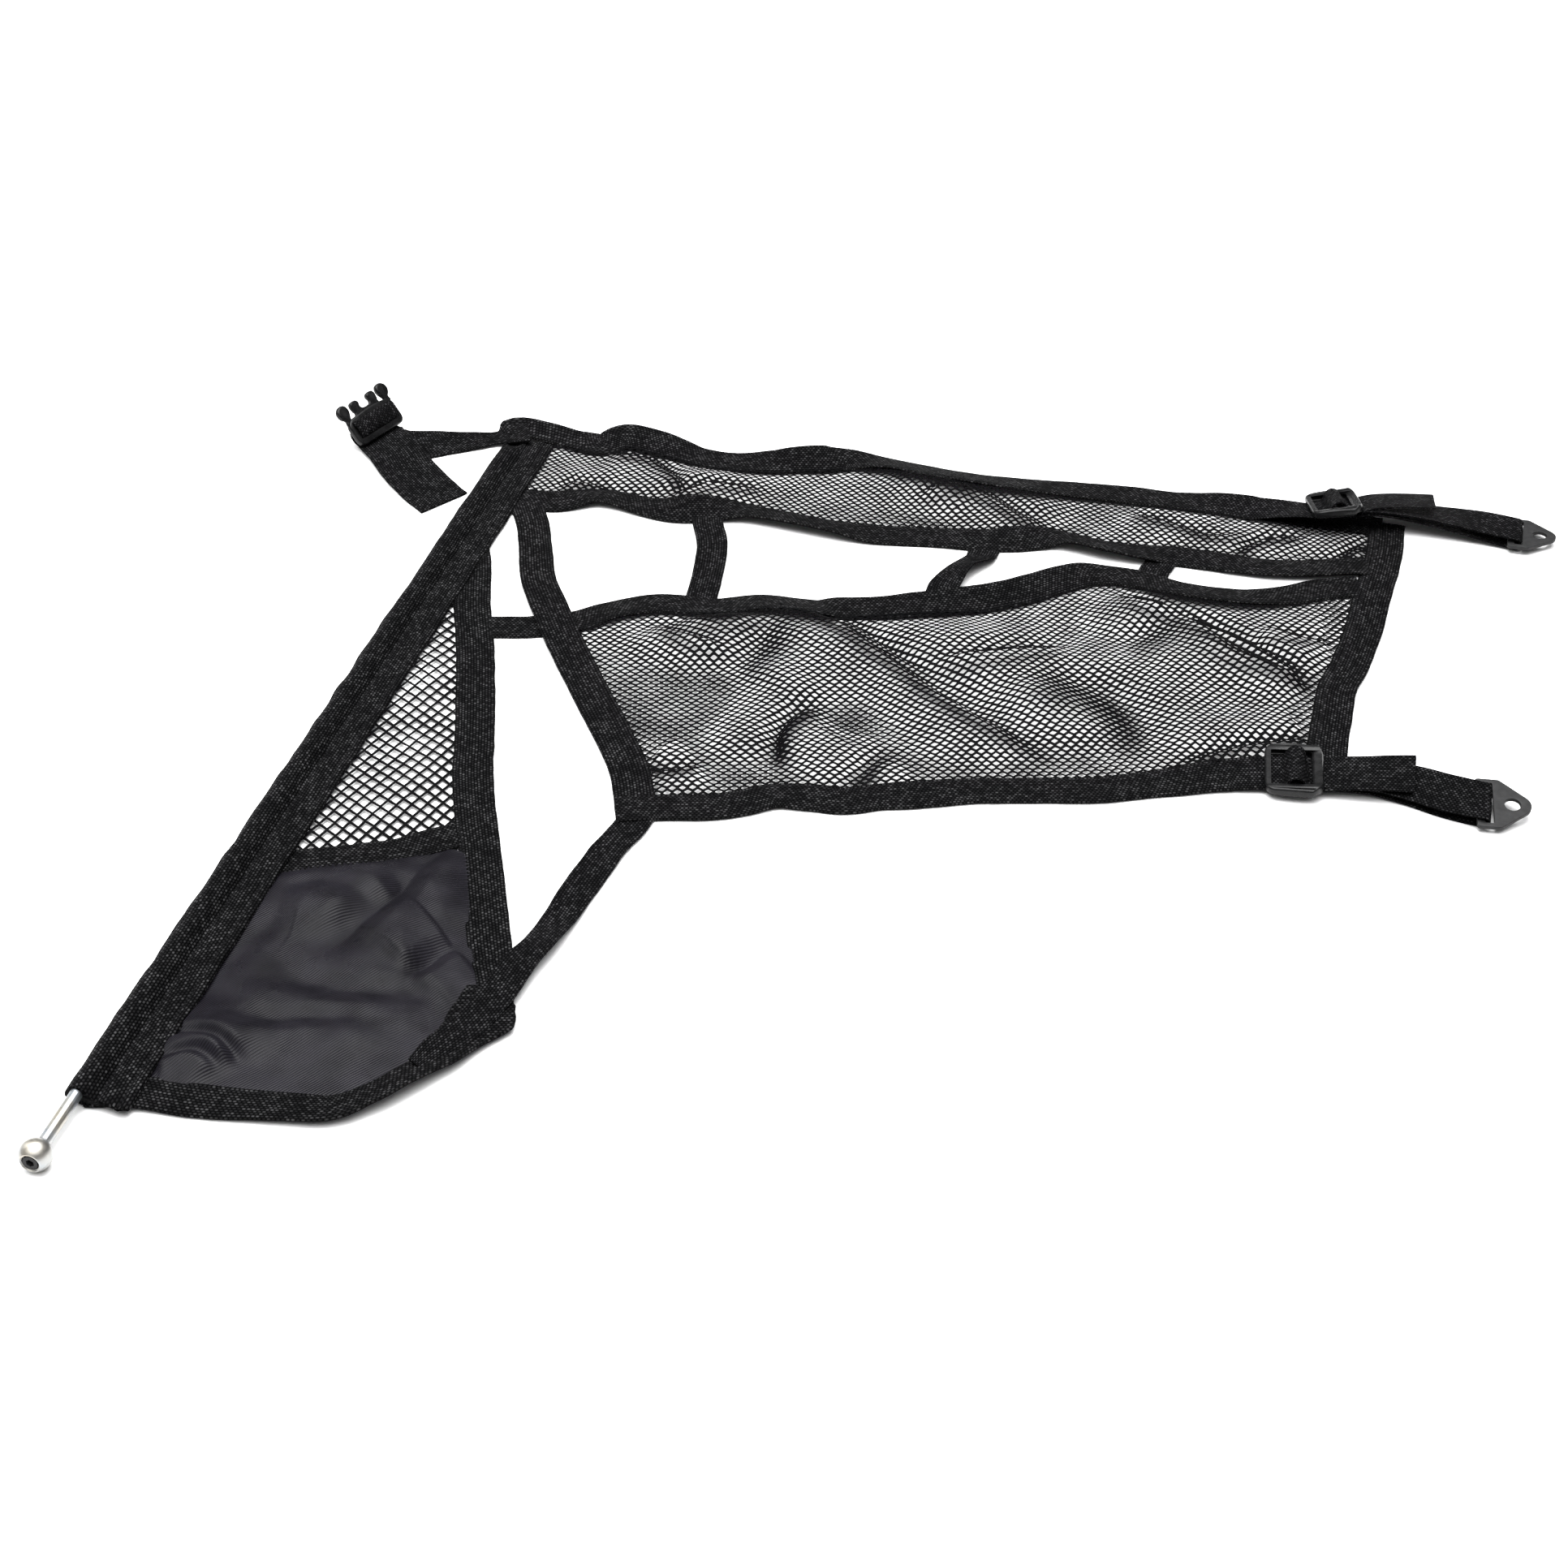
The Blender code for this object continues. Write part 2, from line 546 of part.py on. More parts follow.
def looped(route, width, bar, end_radius, gap, spacing=16.0):
    """Stations of a strap that runs out under itself, turns round a bar and comes back on top."""
    across = (frame_of(**bar).to_3x3() @ Vector((0, 1, 0))).normalized()
    base = along(route, width, spacing)
    last = len(base) - 1
    base = [
        (centre, left.lerp(across, (index / last) ** 2).normalized(), wide)
        for index, (centre, left, wide) in enumerate(base)
    ]
    lower, upper = [], []
    for index, (centre, left, wide) in enumerate(base):
        ahead = base[min(index + 1, last)][0] - base[max(index - 1, 0)][0]
        up = ahead.cross(left).normalized()
        share = index / last
        half = gap + (end_radius - gap) * share ** 2
        lower.append((centre - up * half, left, wide))
        upper.append((centre + up * half, left, wide))
        forward = left.cross(up).normalized()
    if forward.dot(ahead) < 0:
        forward.negate()
    turn = []
    for step in range(1, 6):
        angle = math.pi * step / 6
        point = base[-1][0] + (forward * math.sin(angle) - up * math.cos(angle)) * end_radius
        turn.append((point, left, wide))
    return [*lower, *turn, *upper[::-1]]


def make_adjuster(side, pose_of, tail):
    """A ladder-lock buckle on its hinge, with the webbing over its bar and the free tail."""
    pose = frame_of(**pose_of)
    hinge = pivot(f"{side}_adjuster_hinge", pose)
    half, thick = ADJUSTER_WIDTH / 2, ADJUSTER_THICK / 2
    front, reach = -ADJUSTER_BAR / 2, ADJUSTER_LENGTH - ADJUSTER_BAR / 2
    body = block(f"{side}_adjuster", (front, -half, -thick), (reach, half, thick), PLASTIC)
    bevelled(body, 3.2, 2, 60.0)
    slot = ADJUSTER_SLOT_WIDTH / 2
    bars = [ADJUSTER_BAR / 2, 15.0, 19.0, reach - ADJUSTER_LIP]
    cuts = [
        block(f"{side}_adjuster_slot_1", (bars[0], -slot, -9), (bars[1], slot, 9), PLASTIC, CUTTERS),
        block(f"{side}_adjuster_slot_2", (bars[2], -slot, -9), (bars[3], slot, 9), PLASTIC, CUTTERS),
    ]
    combine(body, cuts)
    for piece in (body, *cuts):
        carried(piece, hinge)
    middle = (bars[1] + bars[2]) / 2
    over = []
    for step in range(9):
        angle = math.radians(200 - 220 * step / 8)
        over.append((Vector((middle + 5.0 * math.cos(angle), 0, 0.4 + 4.4 * math.sin(angle))),
                     Vector((0, 1, 0)), ADJUST_WIDTH - 1))
    wrap = ribbon(f"{side}_adjuster_webbing", over, STRAP_THICK)
    carried(wrap, hinge)
    shifted = [(x + reach - 4.0, y, z, tilt) for x, y, z, tilt in tail]
    free = ribbon(f"{side}_strap_tail", along(shifted, ADJUST_WIDTH, 18.0), STRAP_THICK)
    carried(free, hinge)


def make_tab(side, pose_of):
    """A steel anchor tab on its hinge: a slotted wide end for the strap and a rounded tip with a bolt hole."""
    hinge = pivot(f"{side}_tab_hinge", frame_of(**pose_of))
    half = TAB_WIDTH / 2
    tip = TAB_HOLE_AT
    lean = math.degrees(math.atan2(half - TAB_TIP_RADIUS, TAB_HOLE_AT + 2.0 - TAB_SHOULDER + 8.0))
    outline = [(-TAB_BAR, -half + 2), (-TAB_BAR + 2, -half), (TAB_SHOULDER - 4, -half)]
    outline += arc((tip, 0), TAB_TIP_RADIUS, -lean, lean, 10)
    outline += [(TAB_SHOULDER - 4, half), (-TAB_BAR + 2, half), (-TAB_BAR, half - 2)]
    tab = plate(f"{side}_anchor_tab", outline, TAB_THICK, DARK_STEEL)
    slot = half - 3.2
    cuts = [
        block(f"{side}_tab_slot", (TAB_BAR, -slot, -9), (TAB_BAR + TAB_SLOT, slot, 9), DARK_STEEL, CUTTERS),
        rod(f"{side}_tab_hole", TAB_HOLE_RADIUS, (tip, 0, -9), (tip, 0, 9), 24, DARK_STEEL, CUTTERS),
    ]
    combine(tab, cuts)
    for piece in (tab, *cuts):
        carried(piece, hinge)


def make_straps():
    wide = ADJUST_WIDTH - 1
    for name, route, bar in (("lower", LOWER_LOOP, LOWER_TAB), ("upper", UPPER_LOOP, UPPER_TAB)):
        ribbon(f"{name}_loop_strap", looped(route, wide, bar, TAB_LOOP_RADIUS, 1.2), STRAP_THICK)
    for name, route, bar in (("lower", LOWER_STRAP, LOWER_ADJUSTER), ("upper", UPPER_STRAP, UPPER_ADJUSTER)):
        loop = looped(route, wide, bar, ADJUSTER_LOOP_RADIUS, 1.1, 10.0)
        ribbon(f"{name}_adjuster_loop", loop, STRAP_THICK)
    strap("release_strap", RELEASE_STRAP, RELEASE_WIDTH, STRAP_THICK, 18.0)
    strap("release_tail", RELEASE_TAIL, RELEASE_WIDTH, STRAP_THICK, 18.0)


def make_buckle():
    """The male half of a wide side-release buckle, standing on the strap that holds it."""
    pose = frame_of(BUCKLE_PIVOT, yaw=BUCKLE_HEADING, pitch=BUCKLE_PITCH)
    hinge = pivot("release_buckle_hinge", pose)
    half, thick = BUCKLE_WIDTH / 2, BUCKLE_THICK / 2
    slot = BUCKLE_SLOT_WIDTH / 2
    frame = block("release_buckle", (0, -half, -thick), (23.0, half, thick), PLASTIC)
    bevelled(frame, 3.0, 2, 60.0)
    cuts = [
        block("buckle_slot_1", (4.0, -slot, -9), (9.5, slot, 9), PLASTIC, CUTTERS),
        block("buckle_slot_2", (13.5, -slot, -9), (19.0, slot, 9), PLASTIC, CUTTERS),
    ]
    combine(frame, cuts)
    nose = [(21.0, -17), (28.0, -13.5), (33.0, -14.5), (37.0, -12.0), (38.0, -8.5), (35.0, -5.5),
            (30.0, -6.5), (29.0, 0), (30.0, 6.5), (35.0, 5.5), (38.0, 8.5), (37.0, 12.0),
            (33.0, 14.5), (28.0, 13.5), (21.0, 17)]
    guides = plate("buckle_guides_join", nose, 4.0, PLASTIC, CUTTERS)
    combine(frame, [guides], "UNION")
    for piece in (frame, *cuts, guides):
        carried(piece, hinge)
    wrap = []
    for step in range(9):
        angle = math.radians(200 - 220 * step / 8)
        wrap.append((Vector((11.5 + 4.4 * math.cos(angle), 0, 0.3 + 4.4 * math.sin(angle))),
                     Vector((0, 1, 0)), RELEASE_WIDTH + 1))
    carried(ribbon("release_buckle_webbing", wrap, STRAP_THICK), hinge)
    for side, name in ((-1, "left"), (1, "right")):
        turn = Matrix.Translation(Vector((ARM_FLEX_AT[0] - 2.6, side * ARM_FLEX_AT[1], 0)) * MM)
        flex = pivot(f"buckle_arm_{name}_flex", turn)
        flex.parent = hinge
        outline = [(0, -2.2), (3, -2.6), (5.5, -4.6), (9.5, -5.2), (13.0, -3.6), (14.5, 0),
                   (13.0, 3.2), (9.0, 4.4), (5.5, 3.0), (3, 2.0), (0, 2.2)]
        outline = [(x, side * -y) for x, y in outline]
        carried(plate(f"buckle_arm_{name}", outline, 4.4, PLASTIC), flex)


def centre_all():
    """Puts the origin under the middle of the whole net, on the table."""
    for obj in (*PARTS.objects, *CUTTERS.objects):
        if obj.parent is None:
            obj.location -= Vector(CENTRE) * MM


make_rod()
make_sleeve()
make_net()
make_panels()
make_adjuster("lower", LOWER_ADJUSTER, LOWER_TAIL)
make_adjuster("upper", UPPER_ADJUSTER, UPPER_TAIL)
make_tab("lower", LOWER_TAB)
make_tab("upper", UPPER_TAB)
make_straps()
make_buckle()
centre_all()
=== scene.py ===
"""Looks of a side window net for a side-by-side utility vehicle, laid flat on a table.

The webbing strips, the open netting, the nylon panel, the plastic hardware and the steel are built here round
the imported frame. Routes and sizes are in the drawing's millimetres; build() and at_frame() turn them into the
frame's metres.
"""

import math

import bmesh
import bpy
import numpy as np
from mathutils import Matrix, Vector, noise


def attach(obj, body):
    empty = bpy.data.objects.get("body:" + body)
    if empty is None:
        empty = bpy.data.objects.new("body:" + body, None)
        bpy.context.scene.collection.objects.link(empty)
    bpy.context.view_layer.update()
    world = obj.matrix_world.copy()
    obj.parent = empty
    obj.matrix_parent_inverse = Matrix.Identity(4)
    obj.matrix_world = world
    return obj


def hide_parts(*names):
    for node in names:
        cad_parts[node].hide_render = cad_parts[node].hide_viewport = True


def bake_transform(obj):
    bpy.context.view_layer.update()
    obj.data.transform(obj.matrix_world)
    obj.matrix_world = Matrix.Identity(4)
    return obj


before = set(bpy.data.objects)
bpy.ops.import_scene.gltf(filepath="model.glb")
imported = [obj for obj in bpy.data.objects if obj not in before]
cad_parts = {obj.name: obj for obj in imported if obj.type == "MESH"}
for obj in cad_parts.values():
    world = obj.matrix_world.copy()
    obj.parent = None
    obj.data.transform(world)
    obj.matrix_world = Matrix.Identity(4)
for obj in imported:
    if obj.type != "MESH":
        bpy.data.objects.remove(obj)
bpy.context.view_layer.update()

MM = 0.001
CENTRE = np.array((1.1, -30.8, 0.0))
BINDING_WIDTH = 29.0
BINDING_THICK = 2.4
MID_WIDTH = 28.0
HEM_WIDTH = 27.0
STRAP_WIDTH = 25.0
STRAP_THICK = 1.6
ADJUST_WIDTH = 38.0
RELEASE_WIDTH = 48.0
STATION = 3.0
FLOOR_GAP = 0.15
SLANT_REACH = 12.0
FRAY_REACH = 1.5
STITCH_PITCH = 3.4
STITCH_LENGTH = 2.3

# Each route point is x, y, z, tilt and, where it changes, width. A positive tilt raises the left side.
UPPER_TOP = [
    (-243, 382, 4, 8), (-223, 391, 6.2, 19), (-199, 381, 6.5, 20), (-178, 372, 4.4, 11),
    (-158, 363, 1.8, 1), (-130, 355, 1.8, 1), (-100, 349, 4.7, 13), (-72, 349, 7.3, 23),
    (-50, 349, 7.6, 24), (-30, 354, 4.0, 8), (-2, 347, 5.2, -14), (38, 331, 5.8, -17),
    (78, 318, 5.5, -16), (118, 310, 4.3, -11), (158, 304, 2.9, -5), (198, 298, 1.8, -1),
    (238, 288, 2.3, -3), (278, 278, 4.2, 10), (298, 271, 4.9, 13), (320, 267, 2.7, 4),
    (346, 260, 1.8, 0), (384, 250, 1.6, 0),
]
UPPER_BOTTOM = [
    (-297, 290, 1.9, 1), (-273, 286, 3.0, 6), (-244, 293, 4.0, -10), (-222, 288, 3.4, -8),
    (-199, 277, 2.9, 0), (-174, 267, 6.4, 20), (-150, 268, 6.3, 18), (-118, 267, 4.6, -10),
    (-87, 256, 5.4, -16), (-48, 241, 5.2, -15), (-19, 234, 2.4, -3), (0, 232, 1.6, 0),
    (40, 228, 1.8, 1), (70, 223, 2.7, 5), (95, 221, 4.7, 13), (116, 224, 4.5, 11),
    (134, 225, 3.4, -6), (150, 218, 6.0, -18), (171, 208, 6.2, -18), (196, 202, 4.6, -12),
    (226, 199, 1.8, 0), (256, 191, 2.1, -2), (290, 181, 3.0, -6), (325, 178, 3.2, -7),
    (362, 182, 3.0, -6),
]
MAIN_TOP = [
    (-304, 94, 1.6, 0), (-278, 95, 1.5, 0), (-246, 102, 1.6, 0), (-222, 115, 3.4, -8),
    (-186, 127, 2.4, -4), (-160, 124, 2.8, -5), (-138, 120, 4.0, -10), (-106, 126, 3.9, -10),
    (-78, 121, 5.0, -14), (-60, 118, 4.6, -12), (-44, 121, 1.9, 1), (-15, 120, 2.5, 4),
    (12, 122, 3.8, 9), (40, 124, 5.4, 16), (70, 129, 6.0, 18), (101, 141, 5.9, 17),
    (129, 157, 5.4, 15), (150, 167, 4.0, 10), (171, 169, 2.2, -2), (194, 162, 2.5, -4),
    (218, 147, 4.5, -12), (242, 139, 4.7, -13), (274, 134, 4.2, -11), (306, 139, 2.4, -4),
    (333, 148, 2.0, 0), (349, 151, 1.8, 0),
]
MAIN_BOTTOM = [
    (-173, -138, 1.6, 0), (-140, -138, 1.9, 0), (-116, -133, 1.9, 0), (-93, -125, 2.4, -3),
    (-65, -128, 2.4, 3), (-46, -131, 2.1, 2), (-22, -126, 1.7, 0), (0, -125, 2.6, 4),
    (42, -119, 1.9, 0), (86, -118, 1.8, 0), (128, -118, 1.9, 0), (160, -113, 1.9, 1),
    (192, -107, 2.4, 2, 32), (216, -102, 2.6, 0, 36),
]
MAIN_LEFT = [
    (-293, 255, 2.2, 0, 27), (-287, 215, 2.0, 0, 27), (-281, 165, 3.0, 0, 28),
    (-270, 124, 5.2, 0), (-259, 88, 5.2, 0), (-246, 50, 3.2, 0), (-229, 3, 1.6, 0),
    (-210, -50, 1.6, 0), (-196, -95, 1.6, 0), (-190, -136, 1.6, 0),
]
REAR_BAND = [
    (403, 242, 1.6, 0), (396, 212, 1.6, 0), (385, 176, 1.6, 0), (371, 136, 1.6, 0),
    (355, 88, 1.6, 0), (337, 42, 1.8, 0), (321, 8, 2.0, 3), (312, -24, 1.8, 0),
    (301, -66, 1.6, 0),
]
TRIANGLE_REAR = [
    (-323, 184, 1.6, 0, 8), (-325, 150, 1.6, 0, 18), (-326, 118, 1.6, 0, 25), (-320, 60, 1.6, 0),
    (-314, 0, 1.6, 0), (-309, -56, 2.0, 0), (-306, -98, 1.7, 0), (-300, -143, 1.6, 0),
    (-292, -190, 1.6, 0), (-284, -240, 1.6, 0), (-276, -290, 1.6, 0), (-271, -318, 1.6, 0, 26),
]
MID_BAND = [
    (-424, -203, 1.8, 0), (-392, -197, 1.8, 0), (-352, -189, 1.6, 0), (-334, -181, 1.6, 0),
    (-324, -176, 1.6, 0),
]
LOWER_HEM = [
    (-474, -426, 3.4, 0), (-437, -433, 2.6, 3), (-399, -437, 2.6, -5), (-358, -440, 3.8, -10),
    (-335, -430, 6.0, -18), (-316, -415, 6.8, -20), (-297, -397, 5.2, -13),
]
DIAGONAL = [
    (-192, -160, 2.2, 0), (-206, -187, 2.1, 2), (-222, -228, 2.3, -3), (-233, -260, 3.0, 6),
    (-243, -287, 6.8, 14), (-254, -309, 7.8, 7), (-264, -334, 7.0, 2), (-272, -352, 6.4, 0),
]
CONNECTOR_1 = [(-149, 247, 4.6, 0), (-145, 219, 2.6, 3), (-146, 187, 1.6, 0), (-149, 157, 1.6, 0),
               (-151, 140, 2.0, 0)]
CONNECTOR_2 = [(71, 199, 2.4, 4), (67, 192, 4.4, 14), (53, 176, 7.4, 22), (43, 160, 5.8, 10),
               (38, 148, 5.2, 0)]
CONNECTOR_3 = [(211, 184, 2.4, 0), (208, 180, 2.0, 0), (206, 176, 1.8, 0)]
CAP_STRAP = [(-318, 408, 7.0, 4), (-300, 403, 7.0, 4), (-280, 396, 5.0, 2), (-268, 391, 3.8, 2),
             (-258, 388, 3.4, 4)]
LOWER_LOOP = [(303, -106, 6.4, 0), (328, -109, 6.0, 0), (352, -119, 6.2, 3), (372, -132, 7.0, 7),
              (391, -143, 9.0, 11, 34.6)]
UPPER_LOOP = [(392, 254, 15.0, -13), (420, 252, 12.4, -15), (450, 245, 10.2, -14),
              (478, 237, 8.2, -8), (500, 228, 6.0, -1, 36.0)]
LOWER_ADJUSTER = dict(at=(252.0, -102.0, 8.6), yaw=-8.0, pitch=0.0, roll=4.0)
UPPER_ADJUSTER = dict(at=(343.0, 257.0, 14.0), yaw=0.0, pitch=5.0, roll=-12.0)
LOWER_TAB = dict(at=(391.0, -143.0, 9.0), yaw=-8.0, pitch=0.0, roll=11.0)
UPPER_TAB = dict(at=(500.0, 228.0, 6.0), yaw=-15.0, pitch=1.0, roll=0.0)


def full(point, width):
    """A route point with its width filled in."""
    return tuple(point) if len(point) == 5 else (*point, width)


def lengths_along(line):
    """How far along a line each of its points is."""
    return np.concatenate([[0.0], np.cumsum(np.linalg.norm(np.diff(line, axis=0), axis=1))])


def unit(vector):
    vector = np.asarray(vector, float)
    return vector / np.linalg.norm(vector)


def unit_rows(vectors):
    """Each row of an array, scaled to a length of one."""
    return vectors / np.linalg.norm(vectors, axis=1)[:, None]


def headings(line):
    """The direction of travel at each point of a line."""
    return unit_rows(np.gradient(line, axis=0))


def read_at(spots, lengths, table):
    """The three columns of a table, read at the given lengths."""
    return np.stack([np.interp(spots, lengths, table[:, k]) for k in range(3)], axis=1)


def between(a, b, c, d, t):
    """A point on the smooth curve from b to c, where a comes before them and d after."""
    squared, cubed = (2 * a - 5 * b + 4 * c - d) * t * t, (3 * b - a - 3 * c + d) * t ** 3
    return 0.5 * (2 * b + (c - a) * t + squared + cubed)


def resample(points, spacing):
    """Evenly spaced points on a smooth curve through the points, with every column carried along."""
    points = [np.array(point, float) for point in points]
    ends = [points[0], *points, points[-1]]
    fine = [between(*four, t) for four in zip(ends, ends[1:], ends[2:], ends[3:]) for t in np.arange(12) / 12]
    fine = np.array([*fine, points[-1]])
    lengths = lengths_along(fine[:, :3])
    count = max(2, round(lengths[-1] / spacing))
    wanted = np.linspace(0, lengths[-1], count + 1)
    return np.stack([np.interp(wanted, lengths, column) for column in fine.T], axis=1)


def along(route, width, spacing=STATION):
    """Stations on a smooth curve through the route: centres, directions to the left side, and widths."""
    here = resample([full(point, width) for point in route], spacing)
    heading = headings(here[:, :2])
    tilt = np.radians(here[:, 3])
    left = np.stack([-heading[:, 1] * np.cos(tilt), heading[:, 0] * np.cos(tilt), np.sin(tilt)], axis=1)
    return here[:, :3], left, here[:, 4]


def uppers(centres, left):
    """The direction away from the strip's lower face at each station."""
    return unit_rows(np.cross(np.gradient(centres, axis=0), left))


def waver(places, size, amount, seed):
    """Smooth deterministic noise along a list of lengths."""
    return np.array([amount * noise.noise(Vector((s / size, seed * 7.31, 0.5))) for s in places])


def at_frame(point):
    """A point of the drawing, in the frame's metres."""
    return tuple((np.array(point, float) - CENTRE) * MM)


def in_pose(points, pose):
    """Points written in a piece's own frame, in the drawing's frame."""
    return np.asarray(points, float) @ np.array(pose.to_3x3()).T + np.array(pose.translation)


def build(name, points, faces, surface, uvs=None, sharp=50):
    """A smooth-shaded mesh object from points in the drawing's millimetres, creased past the sharp angle."""
    mesh = bpy.data.meshes.new(name)
    placed = (np.asarray(points, float) - CENTRE) * MM
    mesh.from_pydata(placed.tolist(), [], faces)
    if uvs is not None:
        layer = mesh.uv_layers.new(name="weave")
        layer.data.foreach_set("uv", np.asarray(uvs, np.float32).ravel())
    mesh.materials.append(surface)
    mesh.update()
    obj = bpy.data.objects.new(name, mesh)
    bpy.context.scene.collection.objects.link(obj)
    mesh.shade_smooth()
    mesh.set_sharp_from_angle(angle=math.radians(sharp))
    return obj


def ride_as(obj, slot, body, *nodes):
    """Puts a piece on its body, in place of the plain CAD nodes; its slot is not used."""
    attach(obj, body)
    if nodes:
        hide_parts(*nodes)
    return obj


def tube(name, rings, lengths, across, surface, flipped=False):
    """A closed tube through rings of points, with its weave laid out by length along and distance across."""
    n, m = rings.shape[:2]
    ring = np.arange(m)
    base = (np.arange(n - 1) * m)[:, None]
    beside = base + (ring + 1) % m
    quads = np.stack([base + ring, beside, beside + m, base + m + ring], axis=2).reshape(-1, 4)
    edges = np.append(across, across[-1] + 1.0)
    near, far = np.repeat(lengths[:-1], m), np.repeat(lengths[1:], m)
    here, there = np.tile(edges[:-1], n - 1), np.tile(edges[1:], n - 1)
    corners = (near, here), (near, there), (far, there), (far, here)
    weave = np.stack([np.stack(corner, 1) for corner in corners], axis=1)
    start, end = ring[::-1], (n - 1) * m + ring
    if flipped:
        quads, weave = quads[:, [0, 3, 2, 1]], weave[:, [0, 3, 2, 1]]
        start, end = start[::-1], end[::-1]
    caps = [(0.0, across[k]) for k in start] + [(lengths[-1], across[k % m]) for k in end]
    faces = [*quads.tolist(), start.tolist(), end.tolist()]
    weave = np.concatenate([weave.reshape(-1, 2), caps]) * MM
    return build(name, rings.reshape(-1, 3), faces, surface, weave)


def section(thickness, grooves=()):
    """The outline of a flat strip: (share of half width, millimetres sideways, millimetres up)."""
    r = thickness / 2
    top = []
    for f in np.linspace(0.94, -0.94, 15):
        dip = sum(0.32 * math.exp(-((f - g) / 0.05) ** 2) for g in grooves)
        top.append((f, 0.0, r - dip - 0.25 * r * abs(f) ** 6))
    rim = [(r * math.sin(math.radians(a)), r * math.cos(math.radians(a))) for a in (35, 90, 145)]
    left_side = [(-1.0, r - out, up) for out, up in rim]
    under = [(f, 0.0, -r + 0.25 * r * abs(f) ** 6) for f in np.linspace(-0.94, 0.94, 9)]
    right_side = [(1.0, -r + out, up) for out, up in rim[::-1]]
    return np.array([*top, *left_side, *under, *right_side])


def sweep(name, stations, outline, surface, seed=1.0, edge_waver=0.5, lift_waver=0.25, slant=(0.0, 0.0)):
    """A closed strip with the given outline at every station.

    Its edges waver, its cut ends are a little ragged, and slant pulls the left corner of each end forward.
    """
    centres, left, width = (np.array(a, float) for a in stations)
    lengths = lengths_along(centres)
    up = uppers(centres, left)
    left_edge = waver(lengths, 14.0, edge_waver, seed)
    right_edge = waver(lengths, 14.0, edge_waver, seed + 3.7)
    lift = waver(lengths, 22.0, lift_waver, seed + 9.1)
    share, out, rise = outline.T
    half = width[:, None] / 2 * share[None, :] + out[None, :]
    wavering = np.where(share[None, :] > 0, left_edge[:, None], right_edge[:, None])
    half += wavering * np.abs(share)[None, :] ** 3
    high = rise[None, :] + lift[:, None] * (0.4 + 0.6 * np.abs(share)[None, :])
    points = centres[:, None, :] + left[:, None, :] * half[:, :, None] + up[:, None, :] * high[:, :, None]
    fray = np.array([0.5 * noise.noise(Vector((k * 1.7, seed, 4.0))) for k in range(len(share))])
    back = lengths - lengths[-1]
    shift = np.outer(np.exp(-lengths / SLANT_REACH), slant[0] * share)
    shift += np.outer(np.exp(-lengths / FRAY_REACH), fray)
    shift += np.outer(np.exp(back / SLANT_REACH), slant[1] * share)
    shift -= np.outer(np.exp(back / FRAY_REACH), fray[::-1])
    points += headings(centres)[:, None, :] * shift[:, :, None]
    points[:, :, 2] = np.maximum(points[:, :, 2], FLOOR_GAP)
    across = np.concatenate([[0.0], np.cumsum(np.hypot(np.diff(half[0]), np.diff(rise)))])
    return tube(name, points, lengths, across, surface)


# ---------------------------------------------------------------- materials


class Graph:
    """Short calls that add shader nodes to a material."""

    def __init__(self, name):
        self.made = bpy.data.materials.new(name)
        self.made.use_nodes = True
        self.tree = self.made.node_tree
        self.shader = self.tree.nodes["Principled BSDF"]

    def add(self, kind, **settings):
        node = self.tree.nodes.new(kind)
        for key, value in settings.items():
            setattr(node, key, value)
        return node

    def put(self, socket, value):
        if isinstance(value, bpy.types.NodeSocket):
            self.tree.links.new(value, socket)
        else:
            socket.default_value = value

    def math(self, operation, a, b=0.0, c=0.0):
        node = self.add("ShaderNodeMath", operation=operation)
        for socket, value in zip(node.inputs, (a, b, c)):
            self.put(socket, value)
        return node.outputs[0]

    def noise(self, scale, detail=2.0, vector=None, roughness=0.5):
        node = self.add("ShaderNodeTexNoise")
        node.inputs["Scale"].default_value = scale
        node.inputs["Detail"].default_value = detail
        node.inputs["Roughness"].default_value = roughness
        self.put(node.inputs["Vector"], self.place() if vector is None else vector)
        return node.outputs["Fac"]

    def place(self):
        return self.add("ShaderNodeTexCoord").outputs["Object"]

    def uv(self):
        """Length along and distance across the strip, in millimetres."""
        node = self.add("ShaderNodeUVMap", uv_map="weave")
        split = self.add("ShaderNodeSeparateXYZ")
        self.put(split.inputs[0], node.outputs[0])
        return [self.math("MULTIPLY", output, 1000.0) for output in split.outputs[:2]]

    def ramp(self, value, low, high):
        """The value's own range from low to high, spread over 0 to 1."""
        node = self.add("ShaderNodeMapRange")
        node.clamp = True
        for socket, number in zip(node.inputs, (value, low, high)):
            self.put(socket, number)
        return node.outputs[0]

    def mix(self, share, dark, light):
        node = self.add("ShaderNodeMix", data_type="RGBA")
        self.put(node.inputs["Factor"], share)
        self.put(node.inputs[6], (*dark, 1.0))
        self.put(node.inputs[7], light if isinstance(light, bpy.types.NodeSocket) else (*light, 1.0))
        return node.outputs[2]

    def bump(self, height, distance, strength=1.0):
        node = self.add("ShaderNodeBump")
        node.inputs["Strength"].default_value = strength
        node.inputs["Distance"].default_value = distance
        self.put(node.inputs["Height"], height)
        self.put(self.shader.inputs["Normal"], node.outputs[0])

    def finish(self, colour, roughness, specular, metallic=0.0):
        base = (*colour, 1.0) if isinstance(colour, tuple) else colour
        self.put(self.shader.inputs["Base Color"], base)
        self.put(self.shader.inputs["Roughness"], roughness)
        self.shader.inputs["Metallic"].default_value = metallic
        self.shader.inputs["Specular IOR Level"].default_value = specular
        return self.made


